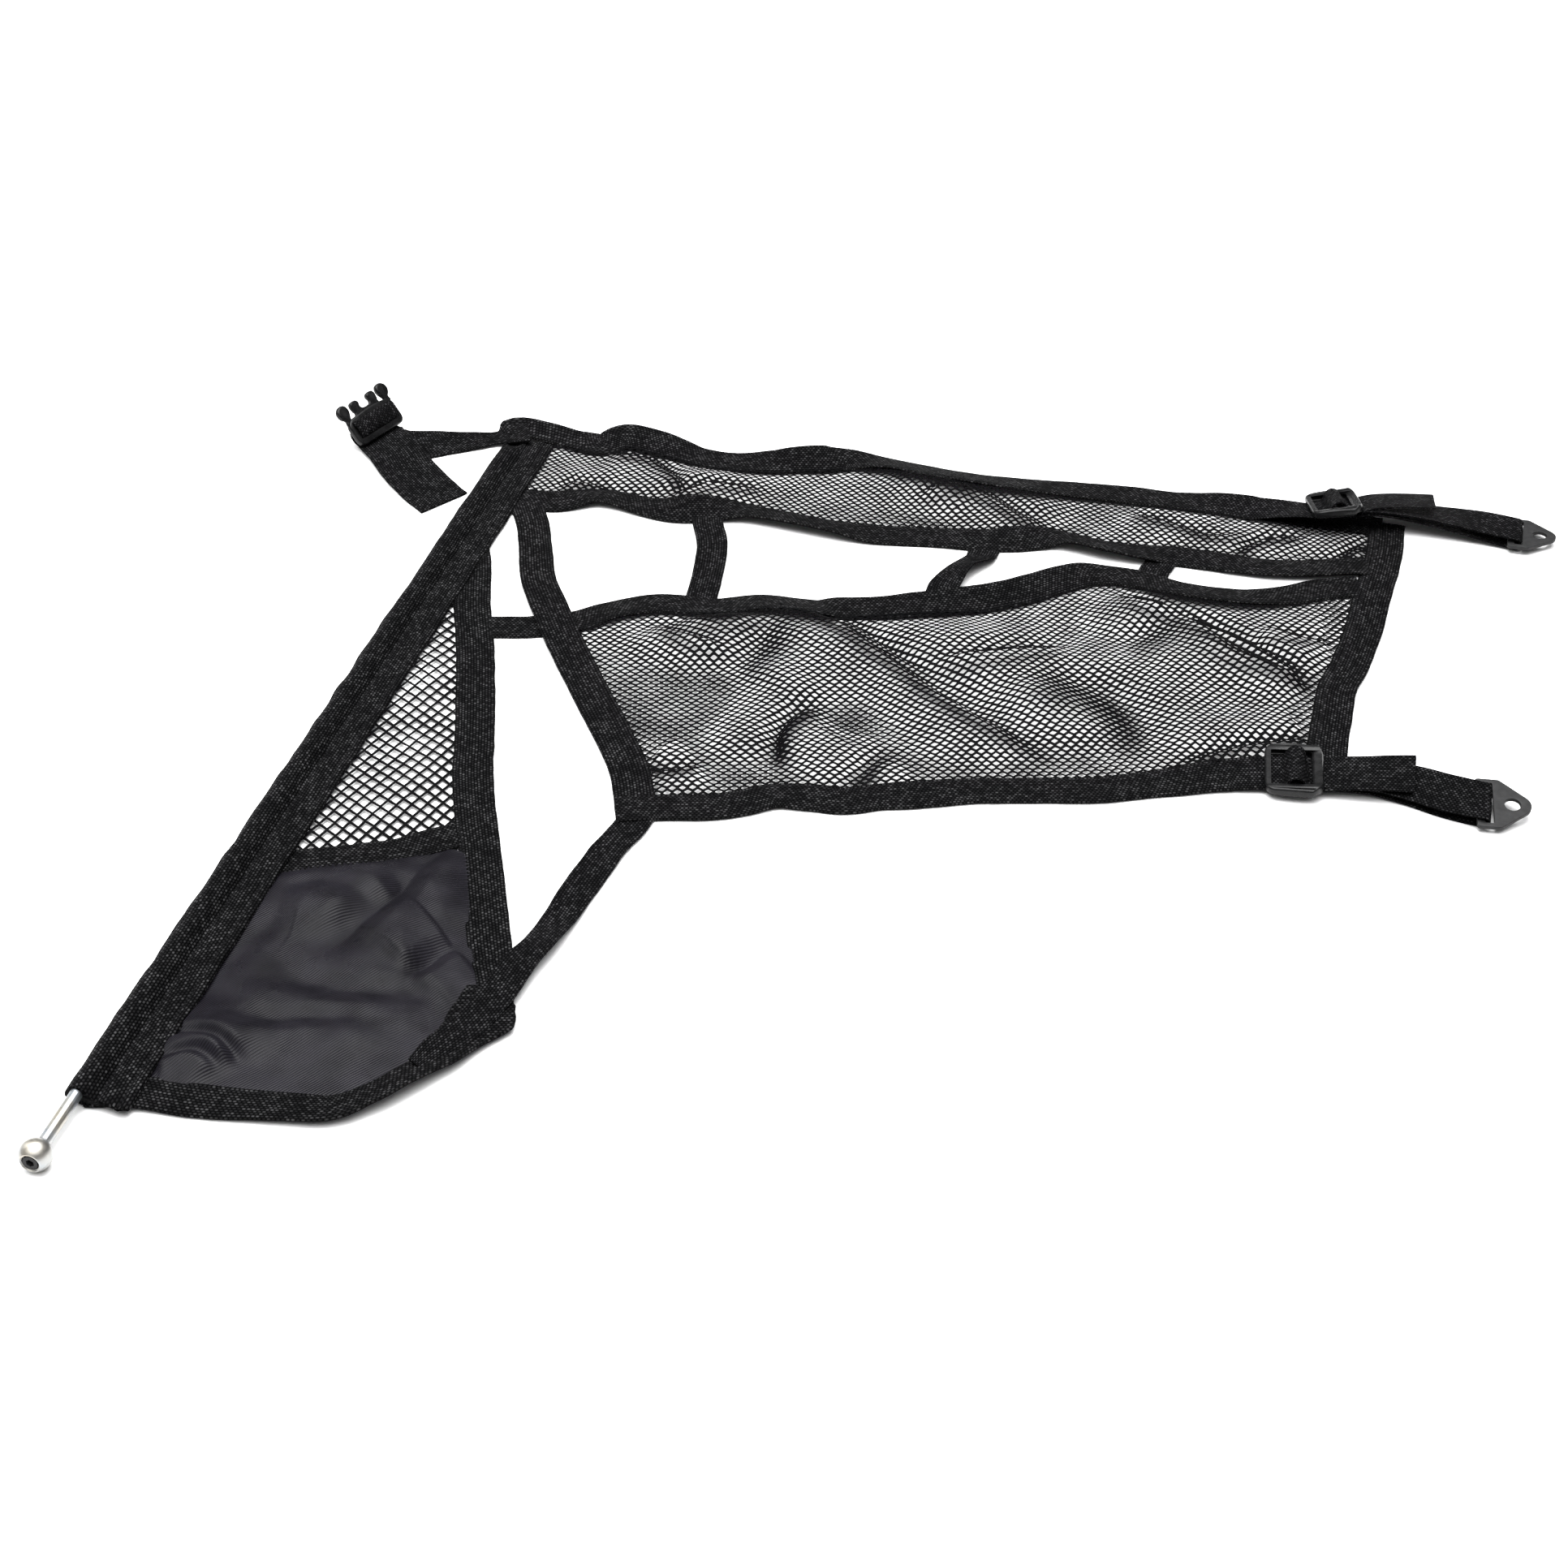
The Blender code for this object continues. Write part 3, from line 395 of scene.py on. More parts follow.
def webbing_material(name, long_pitch, cross_pitch, dark, light, depth):
    """Woven webbing: oval picks in rows that step by half a pick, with painted glints on odd picks and painted
    shade between the picks.
    """
    g = Graph(name)
    s, v = g.uv()
    wander = g.math("MULTIPLY", g.math("SUBTRACT", g.noise(90.0), 0.5), 0.5)
    row_at = g.math("DIVIDE", g.math("ADD", v, wander), cross_pitch)
    row = g.math("FLOOR", row_at)
    step = g.math("MULTIPLY", g.math("MODULO", row, 2.0), 0.5)
    pick_at = g.math("ADD", g.math("DIVIDE", s, long_pitch), step)
    pick = g.math("FLOOR", pick_at)
    hill = g.math("MULTIPLY", g.math("SINE", g.math("MULTIPLY", g.math("FRACT", pick_at), math.pi)),
                  g.math("SINE", g.math("MULTIPLY", g.math("FRACT", row_at), math.pi)))
    cell = g.add("ShaderNodeCombineXYZ")
    g.put(cell.inputs[0], pick)
    g.put(cell.inputs[1], row)
    speck = g.add("ShaderNodeTexWhiteNoise", noise_dimensions="2D")
    g.put(speck.inputs["Vector"], cell.outputs[0])
    # painted highlight: a random glint on single picks, put into the base colour
    painted_glint = g.math("ADD", g.math("POWER", speck.outputs["Value"], 2.5), 0.16)
    patch = g.ramp(g.noise(55.0, 3.0), 0.25, 0.8)
    worn = g.math("ADD", g.math("MULTIPLY", patch, 0.8), 0.45)
    # painted light in the colour: each pick lightest at its crown, with painted shade in the gaps between picks
    share = g.math("MULTIPLY", g.math("MULTIPLY", painted_glint, g.math("POWER", hill, 1.6)), worn)
    fuzz = g.math("MULTIPLY", g.noise(1400.0, 2.0), 0.25)
    g.bump(g.math("ADD", g.math("POWER", hill, 0.5), fuzz), depth)
    return g.finish(g.mix(share, dark, light), 0.75, 0.03)


def netting_material():
    """Dull black knitted yarn."""
    g = Graph("netting")
    yarn = g.noise(900.0, 2.0)
    g.bump(yarn, 0.0002, 0.6)
    colour = g.mix(g.ramp(yarn, 0.35, 0.75), (0.0006, 0.0006, 0.0008), (0.0035, 0.0035, 0.004))
    return g.finish(colour, 0.6, 0.03)


def nylon_material():
    """Satin twill: fine slanting ribs with a soft shine."""
    g = Graph("nylon_twill")
    s, v = g.uv()
    slant = g.math("ADD", g.math("MULTIPLY", s, 0.62), g.math("MULTIPLY", v, -0.78))
    wander = g.math("MULTIPLY", g.noise(60.0), 1.2)
    rib = g.math("SINE", g.math("MULTIPLY", g.math("ADD", slant, wander), 2 * math.pi / 1.7))
    cross = g.math("SINE", g.math("MULTIPLY", g.math("ADD", s, v), 2 * math.pi / 1.1))
    height = g.math("ADD", rib, g.math("MULTIPLY", cross, 0.3))
    g.bump(height, 0.00009, 0.8)
    tone = g.ramp(g.math("ADD", g.math("MULTIPLY", rib, 0.22), g.noise(35.0, 4.0)), 0.2, 0.95)
    rough = g.ramp(g.noise(45.0, 3.0), -0.45, 2.9)
    return g.finish(g.mix(tone, (0.0020, 0.0018, 0.0028), (0.0170, 0.0158, 0.0205)), rough, 0.1)


def plastic_material():
    """Moulded black plastic with a soft sheen."""
    g = Graph("acetal")
    g.bump(g.noise(700.0, 3.0), 0.00012, 0.5)
    wear = g.ramp(g.noise(120.0, 4.0), 0.45, 0.75)
    colour = g.mix(wear, (0.003, 0.003, 0.0033), (0.009, 0.009, 0.0095))
    return g.finish(colour, g.ramp(g.noise(160.0), -0.25, 2.3), 0.22)


def coated_steel_material():
    """Black powder coat with its fine grain."""
    g = Graph("coated_steel")
    g.bump(g.noise(1500.0, 3.0), 0.00015, 0.7)
    tone = g.ramp(g.noise(220.0, 4.0), 0.3, 0.8)
    return g.finish(g.mix(tone, (0.012, 0.012, 0.0125), (0.022, 0.022, 0.0225)), 0.5, 0.2)


def zinc_material():
    """Plated steel with fine turning marks, a faint warm cast and small dark nicks."""
    g = Graph("zinc")
    place = g.place()
    nick = g.ramp(g.noise(420.0, 5.0, place, 0.7), 0.62, 0.72)
    cast = g.mix(g.ramp(g.noise(60.0, 2.0), 0.35, 0.7), (0.37, 0.395, 0.42), (0.44, 0.41, 0.35))
    colour = g.add("ShaderNodeMix", data_type="RGBA")
    g.put(colour.inputs["Factor"], g.math("MULTIPLY", nick, 0.55))
    g.put(colour.inputs[6], cast)
    g.put(colour.inputs[7], (0.10, 0.09, 0.08, 1.0))
    g.bump(g.noise(900.0, 3.0), 0.00006, 0.6)
    return g.finish(colour.outputs[2], g.ramp(g.noise(300.0, 3.0), -0.9, 2.6), 0.5, metallic=1.0)


def thread_material():
    g = Graph("stitch_thread")
    g.bump(g.noise(2500.0), 0.0001, 0.5)
    return g.finish(g.mix(g.noise(800.0), (0.003, 0.003, 0.0035), (0.012, 0.012, 0.013)), 0.7, 0.05)


YARN = (0.0008, 0.0008, 0.001)
BINDING = webbing_material("binding_weave", 2.9, 2.1, YARN, (0.062, 0.0615, 0.0635), 0.0009)
STRAP = webbing_material("strap_weave", 2.6, 2.0, YARN, (0.058, 0.0575, 0.0600), 0.0009)
NETTING = netting_material()
NYLON = nylon_material()
PLASTIC = plastic_material()
STEEL = coated_steel_material()
ZINC = zinc_material()
THREAD = thread_material()


def paint(surface, slot, *nodes):
    """Gives CAD nodes that stay in view their finished surface."""
    for name in nodes:
        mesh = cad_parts[name].data
        mesh.materials.clear()
        mesh.materials.append(surface)


# ---------------------------------------------------------------- stitching


STITCHES = []


def stitch_line(line, away, pitch=STITCH_PITCH, length=STITCH_LENGTH, inset=4.0):
    """A row of stitches on a line of points, where away points out of the cloth at each of them."""
    lengths = lengths_along(line)
    spots = np.arange(inset, lengths[-1] - inset, pitch)
    read = [read_at(spots, lengths, table) for table in (line, headings(line), away)]
    STITCHES.append((*read, length))


def stitch_strip(stations, share, raise_by):
    """A row of stitches along a strip, at a share of its half width."""
    centres, left, width = (np.array(a, float) for a in stations)
    up = uppers(centres, left)
    stitch_line(centres + left * (share * width / 2)[:, None] + up * raise_by, up)


def make_stitches():
    """Every stitch as a small rounded bar that dips at both ends, all in one mesh."""
    sides, slices = 6, 5
    points, faces = [], []
    for spots, ahead, up, length in STITCHES:
        for spot, forward, away in zip(spots, ahead, up):
            across = np.cross(away, forward)
            first = len(points)
            for t in np.linspace(-1, 1, slices):
                middle = spot + forward * t * length / 2 + away * (0.18 - 0.4 * t * t)
                thick = 0.42 * math.sqrt(max(1 - t * t * 0.85, 0.05))
                for a in np.arange(sides) * math.tau / sides:
                    points.append(middle + across * thick * math.cos(a) + away * thick * math.sin(a))
            for k in range(slices - 1):
                for j in range(sides):
                    a, b = first + k * sides + j, first + k * sides + (j + 1) % sides
                    faces.append((a, b, b + sides, a + sides))
            faces.append(tuple(first + j for j in range(sides))[::-1])
            faces.append(tuple(first + (slices - 1) * sides + j for j in range(sides)))
    ride_as(build("stitching_net", points, faces, THREAD), "webbing", "net")


# ---------------------------------------------------------------- webbing of the net


# The triangle's rear binding as it is seen, at its full width up to its upper end.
TRIANGLE_REAR_SEEN = [(-334, 184, 1.4, 0), (-331, 150, 1.6, 0), (-328, 118, 1.6, 0), *TRIANGLE_REAR[3:]]

# Each binding: its node, route, width and rows of stitches, then the points that lead it in and tail it off
# under its neighbours.
BINDINGS = [
    ("upper_top_binding", UPPER_TOP, BINDING_WIDTH, (-0.76,), [(-262, 388, 3.0, 6)], [(400, 246, 1.3, 0)]),
    ("upper_bottom_binding", UPPER_BOTTOM, BINDING_WIDTH, (0.76,), [(-318, 293, 1.4, 0)],
     [(378, 183, 1.3, 0)]),
    ("main_top_binding", MAIN_TOP, BINDING_WIDTH, (-0.76,), [(-320, 94, 1.25, 0)], [(366, 154, 1.3, 0)]),
    ("main_bottom_binding", MAIN_BOTTOM, BINDING_WIDTH, (0.76,), [(-203, -143, 3.6, 0), (-190, -141, 3.6, 0)],
     [(240, -100, 2.6, 0, 36)]),
    ("main_left_strap", MAIN_LEFT, BINDING_WIDTH, (0.84, 0.6), [(-306, 305, 1.2, 0, 27)],
     [(-188, -150, 1.4, 0)]),
    ("rear_band", REAR_BAND, BINDING_WIDTH, (-0.8, -0.5), [(405, 250, 1.5, 0)], [(296, -92, 1.4, 0)]),
    ("triangle_rear_binding", TRIANGLE_REAR_SEEN, BINDING_WIDTH, (-0.78,), [(-340, 226, 1.2, 0)],
     [(-268, -336, 1.4, 0, 26)]),
    ("mid_band", MID_BAND, MID_WIDTH, (0.8, -0.8), [(-448, -210, 1.3, 0)], [(-298, -166, 1.2, 0)]),
    ("lower_hem", LOWER_HEM, HEM_WIDTH, (0.76,), [(-503, -424, 1.5, 0)],
     [(-284, -381, 3.8, -8), (-265, -362, 3.0, -4)]),
    ("sleeve_cap", CAP_STRAP, BINDING_WIDTH, (-0.76,), [(-327, 396, 7.0, 0, 15), (-323, 402, 8.0, 2, 22)],
     [(-244, 383, 3.4, 6)]),
]
# Each narrow strap: its node, route, lead and tail.
STRAPS = [
    ("diagonal_strap", DIAGONAL, [(-184, -138, 1.2, 0)],
     [(-283, -372, 6.6, -4, 24), (-298, -393, 8.2, -14, 20), (-309, -408, 8.4, -20, 13)]),
    ("connector_strap_1", CONNECTOR_1, [(-149, 262, 2.0, 0)], [(-152, 126, 1.4, 0)]),
    ("connector_strap_2", CONNECTOR_2, [(76, 216, 1.2, 0)], [(34, 134, 3.4, 0)]),
    ("connector_strap_3", CONNECTOR_3, [(217, 200, 1.6, 0)], [(201, 162, 1.2, 0)]),
]
PIECE_NAMES = {"triangle_rear_binding": "triangle_rear_webbing"}


def strip(node, route, width, thickness, seed, rows, surface):
    """A webbing strip in place of its plain CAD strip, with its rows of stitches in shallow grooves."""
    stations = along(route, width)
    obj = sweep(PIECE_NAMES.get(node, f"{node}_webbing"), stations, section(thickness, rows), surface, seed)
    for share in rows:
        stitch_strip(stations, share, thickness / 2 - 0.15)
    ride_as(obj, "webbing", "net", node)


def make_bindings():
    for seed, (node, route, width, rows, lead, tail) in enumerate(BINDINGS, 1):
        strip(node, [*lead, *route, *tail], width, BINDING_THICK, seed, rows, BINDING)
    for seed, (node, route, lead, tail) in enumerate(STRAPS, len(BINDINGS) + 1):
        strip(node, [*lead, *route, *tail], STRAP_WIDTH, STRAP_THICK, seed, (), STRAP)


# ---------------------------------------------------------------- sleeve and rod


ROD_HEADING = 13.0
ROD_FALL = 4.0
ROD_LENGTH = 866.0
BALL_CENTRE = (-519.0, -486.0, 10.0)
SLEEVE_START = 53.0
SLEEVE_END = 900.0


def frame_of(at, yaw=0.0, pitch=0.0, roll=0.0):
    """A pose in millimetres: yaw about Z, then pitch that lifts +X, then roll that lifts +Y."""
    turn = Matrix.Rotation(math.radians(yaw), 4, "Z")
    turn = turn @ Matrix.Rotation(math.radians(-pitch), 4, "Y")
    turn = turn @ Matrix.Rotation(math.radians(roll), 4, "X")
    return Matrix.Translation(Vector(at)) @ turn


def rod_pose():
    """The rod's own frame, with X along the rod from the ball's centre."""
    fall = math.degrees(math.asin(ROD_FALL / ROD_LENGTH))
    return frame_of(BALL_CENTRE, yaw=90.0 - ROD_HEADING, pitch=-fall)


# The sleeve's section: millimetres behind the rod, and the heights of its top and low faces from its line.
SLEEVE_SECTION = [
    (-10.2, -4.6, -6.0), (-9.9, -3.0, -6.4), (-9.2, -1.6, -6.9), (-8.4, -1.2, -7.4), (-7.6, -0.6, -7.7),
    (-6.4, 1.8, -8.0), (-4.4, 4.2, -8.1), (-2.2, 5.4, -8.1), (0.0, 5.8, -8.1), (2.2, 5.6, -8.1),
    (4.4, 4.9, -8.1), (6.6, 3.6, -8.0), (8.6, 1.6, -7.8), (10.2, -0.4, -7.2), (11.4, -1.9, -6.6),
    (12.6, -2.6, -6.0), (15.0, -1.8, -5.4), (18.0, -1.3, -5.0), (21.0, -1.4, -4.8), (24.0, -1.7, -4.6),
    (26.0, -2.4, -4.6), (27.2, -2.7, -4.6), (28.4, -2.2, -4.4), (30.5, -1.8, -4.3), (32.6, -2.2, -4.3), (33.6, -3.4, -4.2),
]
SEAMS = (12.4, 27.4, -8.2)


def make_sleeve():
    """A folded webbing sleeve: a front fold, the round tunnel over the rod, two seams and the rear flange."""
    pose = np.array(rod_pose())
    ahead, side, up = pose[:3, 0], pose[:3, 1], pose[:3, 2]
    spots = np.arange(SLEEVE_START, SLEEVE_END + 0.1, STATION)
    lateral, top, low = np.array(SLEEVE_SECTION).T
    behind, height = np.concatenate([lateral, lateral[::-1]]), np.concatenate([top, low[::-1]])
    points = np.zeros((len(spots), len(behind), 3))
    for k, s in enumerate(spots):
        centre = pose[:3, 3] + ahead * s
        calm = min(1.0, max(0.0, (SLEEVE_END - 10 - s) / 20))
        wave = noise.noise(Vector((s / 34.0, 2.2, 0.0)))
        ripple = noise.noise(Vector((s / 15.0, 8.2, 0.0)))
        front = noise.noise(Vector((s / 26.0, 5.5, 0.0)))
        for j, (x, z) in enumerate(zip(behind, height)):
            on_top = j < len(lateral)
            if on_top:
                tunnel = math.exp(-((x - 0.5) / 8.0) ** 4)
                z = -3.0 + (z + 3.0) * (1 - tunnel * (1 - calm)) + 0.5 * ripple * (1 - 0.6 * tunnel)
                z += 0.7 * noise.noise(Vector((s / 19.0, x / 7.0, 3.0)))
            x += (1.3 * front * max(0.0, -x / 10.2) + 1.1 * wave * max(0.0, x / 33.6))
            ragged = 2.4 * noise.noise(Vector((x / 6.0, 3.0, 1.0))) - 0.12 * x
            torn = math.exp((SLEEVE_START - s) / 4.0) * ragged
            here = centre + ahead * torn - side * x + up * z
            here[2] = max(here[2], 1.2 if on_top else 0.25)
            points[k, j] = here
    across = np.concatenate([[0.0], np.cumsum(np.hypot(np.diff(behind), np.diff(height)))])
    sleeve = tube("rod_sleeve_webbing", points, spots, across, BINDING, flipped=True)
    ride_as(sleeve, "webbing", "net", "rod_sleeve")
    for seam in SEAMS:
        line = points[:, int(np.argmin(np.abs(lateral - seam)))]
        stitch_line(line, np.tile(up, (len(line), 1)), 3.6, 2.4)


# ---------------------------------------------------------------- netting and nylon


def edge(route, side, width=BINDING_WIDTH, inset=-6.0, drop=0.6):
    """A line along a strip's left (1) or right (-1) edge; a negative inset runs under the strip."""
    centres, left, wide = along(route, width, 4.0)
    line = centres + left * (side * (wide / 2 + inset))[:, None]
    line[:, 2] = np.maximum(line[:, 2] - drop, 0.8)
    return line


def fine_line(points, step=3.0):
    """Straight runs through the points, divided into short steps."""
    line = [np.array(points[0], float)]
    for a, b in zip(points, points[1:]):
        a, b = np.array(a, float), np.array(b, float)
        count = max(1, round(float(np.linalg.norm(b - a)) / step))
        line += [a + (b - a) * k / count for k in range(1, count + 1)]
    return np.array(line)


def sleeve_edge(inset):
    """The line under the sleeve's rear edge."""
    pose = np.array(rod_pose())
    spots = np.linspace(SLEEVE_START - 10, SLEEVE_END + 10, 240)
    line = pose[:3, 3] + pose[:3, 0] * spots[:, None] - pose[:3, 1] * (33.5 + inset)
    line[:, 2] = 2.6
    return line


def trimmed(line, first, last):
    """The stretch of a line between its nearest points to two other lines."""
    def nearest(other):
        gaps = np.linalg.norm(line[:, None, :2] - other[None, :, :2], axis=2).min(axis=1)
        return int(gaps.argmin())

    start, end = nearest(first), nearest(last)
    return line[start:end + 1] if start < end else line[end:start + 1][::-1]


def outline_of(low, right, high, left):
    """A closed outline round a panel, from four lines that meet or cross at its corners."""
    return np.concatenate([
        trimmed(low, left, right), trimmed(right, low, high),
        trimmed(high, right, left), trimmed(left, high, low),
    ])


def inside(points, outline):
    """Which plan points lie inside a closed outline."""
    x, y = points[:, 0][:, None], points[:, 1][:, None]
    ax, ay = outline[:, 0], outline[:, 1]
    bx, by = np.roll(ax, -1), np.roll(ay, -1)
    crosses = (ay > y) != (by > y)
    with np.errstate(divide="ignore", invalid="ignore"):
        reach = (bx - ax) * (y - ay) / (by - ay) + ax
    return (crosses & (x < reach)).sum(axis=1) % 2 == 1


def base_height(points, outline):
    """A height that meets the outline's own height at its edge."""
    height = np.zeros(len(points))
    for start in range(0, len(points), 4000):
        part = points[start:start + 4000, :2]
        gap = ((part[:, None] - outline[None, :, :2]) ** 2).sum(axis=2) + 4.0
        weight = gap ** -1.5
        height[start:start + 4000] = (weight * outline[:, 2]).sum(axis=1) / weight.sum(axis=1)
    return height


def nearest_on(points, route):
    """For each point: its distance to a line, how far along it is as a share, and the way across.

    The distance is positive on the left of travel.
    """
    route = np.array(route, float)
    best = np.full(len(points), 1e9)
    signed, share = np.zeros(len(points)), np.zeros(len(points))
    away = np.zeros((len(points), 2))
    lengths = lengths_along(route)
    for travelled, a, b in zip(lengths, route, route[1:]):
        run = b - a
        t = np.clip(((points - a) @ run) / (run @ run), 0, 1)
        gap = np.linalg.norm(points - (a + t[:, None] * run), axis=1)
        left = np.array([-run[1], run[0]]) / np.linalg.norm(run)
        side = (points - a) @ left
        closer = gap < best
        best = np.where(closer, gap, best)
        signed = np.where(closer, np.where(side >= 0, gap, -gap), signed)
        share = np.where(closer, (travelled + t * np.linalg.norm(run)) / lengths[-1], share)
        away = np.where(closer[:, None], left, away)
    return signed, share, away


def smooth(route):
    """A fold's line with its corners rounded."""
    centres = along([(x, y, 0, 0) for x, y in route], 1.0, 6.0)[0]
    return centres[:, :2]


def soft_step(t):
    """An even ease from 0 to 1."""
    t = np.clip(t, 0, 1)
    return t * t * (3 - 2 * t)


PINCH = 5.0
FULL_GRIP = 3.4


def folded(points, folds):
    """Moves plan points and gives their heights, and how far the mesh is drawn shut, for a list of folds.

    Each fold is its line, how deep its valley is, how wide its slopes are on the near and far sides, how
    strongly the cloth is drawn together there, and whether it fades at its start and end.
    """
    plan = points[:, :2].copy()
    height, shut = np.zeros(len(points)), np.zeros(len(points))
    for line, deep, near, far, squeeze, fade_in, fade_out in folds:
        d, share, away = nearest_on(points[:, :2], smooth(line))
        hold = np.ones(len(points))
        if fade_in:
            hold *= soft_step(share / fade_in)
        if fade_out:
            hold *= soft_step((1 - share) / fade_out)
        up_near = soft_step(-d / near) * (1 - soft_step((-d - near) / (30.0 + 1.6 * near)))
        up_far = soft_step(d / far) * (1 - soft_step((d - far) / (20.0 + 1.2 * far)))
        height += deep * hold * np.where(d < 0, up_near, up_far)
        pull = squeeze * hold * np.tanh(d / PINCH) * np.exp(-np.abs(d) / 45.0)
        plan -= away * pull[:, None]
        grip = min(1.0, squeeze / FULL_GRIP) * hold * np.exp(-(((d + 0.3 * near) / (2.2 + 0.26 * near)) ** 2))
        shut = np.maximum(shut, grip)
    return plan, height, shut


def rolling(points, size, amount, seed):
    """Gentle rolling heights over a sheet."""
    return np.array([amount * noise.noise(Vector((x / size, y / size, seed))) for x, y in points[:, :2]])


def cells(outline, pitch, row, turn):
    """Cell centres of a diamond lattice that fill an outline, as lattice numbers with a way to place them."""
    angle = math.radians(turn)
    along_row = np.array((math.cos(angle), math.sin(angle)))
    up_rows = np.array((-math.sin(angle), math.cos(angle)))
    middle = outline[:, :2].mean(axis=0)
    reach = np.abs(outline[:, :2] - middle).max() * 1.5

    def place(i, j):
        return middle + np.outer(i * pitch / 2, along_row) + np.outer(j * row, up_rows)

    most_i, most_j = int(reach / (pitch / 2)), int(reach / row)
    i, j = np.meshgrid(np.arange(-most_i, most_i + 1), np.arange(-most_j, most_j + 1))
    i, j = i.ravel(), j.ravel()
    keep = (i + j) % 2 == 0
    i, j = i[keep], j[keep]
    within = inside(place(i, j), outline)
    return i[within], j[within], place


def netting(name, outline, pitch, row, turn, hole, folds, thick, node, seed, roll=(60.0, 1.6)):
    """Knitted netting: threads with a lens-shaped section round every hole, over a folded surface."""
    i, j, place = cells(outline, pitch, row, turn)
    corners = [(2, 0), (1, 1), (0, 2), (-1, 1), (-2, 0), (-1, -1), (0, -2), (1, -1)]
    keys = {}
    outer = np.array([[keys.setdefault((2 * a + du, 2 * b + dv), len(keys)) for du, dv in corners]
                      for a, b in zip(i, j)])
    grid = np.array(list(keys), float) / 2
    frame_points = place(grid[:, 0], grid[:, 1])
    centre = place(i.astype(float), j.astype(float))
    ray = frame_points[outer] - centre[:, None, :]
    shrink = np.array(hole)[[0, 1, 2, 1, 0, 1, 2, 1]]
    drawn = folded(centre, folds)[2] + 0.12 * rolling(centre, 26.0, 1.0, seed + 9)
    open_share = 1 - 0.85 * np.clip(drawn, -0.08, 1)
    holes = centre[:, None, :] + ray * shrink[None, :, None] * open_share[:, None, None]
    n = len(frame_points)
    flat = np.concatenate([frame_points, holes.reshape(-1, 2)])
    jitter = np.stack([rolling(flat, 9.0, 0.45, seed), rolling(flat, 9.0, 0.45, seed + 5)], axis=1)
    drift = np.stack([rolling(flat, 70.0, 3.0, seed + 2), rolling(flat, 70.0, 3.0, seed + 3)], axis=1)
    plan, height, _ = folded(flat + jitter + drift, folds)
    base = base_height(flat, outline)
    hush = 1 - np.exp(-edge_gap(flat, outline) / 14.0)
    roll_size, roll_height = roll
    z = base + (height + rolling(flat, roll_size, roll_height, seed + 4) + roll_height * 0.5) * hush
    z = np.maximum(z, thick / 2 + 0.15)
    plan = flat + (plan - flat) * hush[:, None]
    mid = np.column_stack([plan, z])
    top, bottom, rim = mid[:n] + (0, 0, thick / 2), mid[:n] - (0, 0, thick / 2), mid[n:]
    points = np.concatenate([top, bottom, rim])
    inner = 2 * n + np.arange(len(i) * 8).reshape(-1, 8)
    step = np.roll(np.arange(8), -1)
    upper = np.stack([outer, outer[:, step], inner[:, step], inner], axis=2).reshape(-1, 4)
    lower = np.stack([inner, inner[:, step], outer[:, step] + n, outer + n], axis=2).reshape(-1, 4)
    sides = np.stack([outer, outer[:, step]], axis=2).reshape(-1, 2)
    ordered = np.sort(sides, axis=1)
    _, index, counts = np.unique(ordered, axis=0, return_index=True, return_counts=True)
    free = sides[index[counts == 1]]
    skirt = np.stack([free[:, 1], free[:, 0], free[:, 0] + n, free[:, 1] + n], axis=1)
    faces = np.concatenate([upper, lower, skirt]).tolist()
    return ride_as(build(name, points, faces, NETTING, sharp=100), "netting", "net", node)


def shoelace(outline):
    """A plan outline's area, positive when it runs anticlockwise."""
    x, y = outline[:, 0], outline[:, 1]
    return 0.5 * float((x * np.roll(y, -1) - np.roll(x, -1) * y).sum())


def edge_gap(points, outline):
    """How far each plan point is inside the outline."""
    gap = np.zeros(len(points))
    for start in range(0, len(points), 4000):
        part = points[start:start + 4000, :2]
        squared = ((part[:, None] - outline[None, :, :2]) ** 2).sum(axis=2)
        gap[start:start + 4000] = np.sqrt(squared.min(axis=1))
    return gap


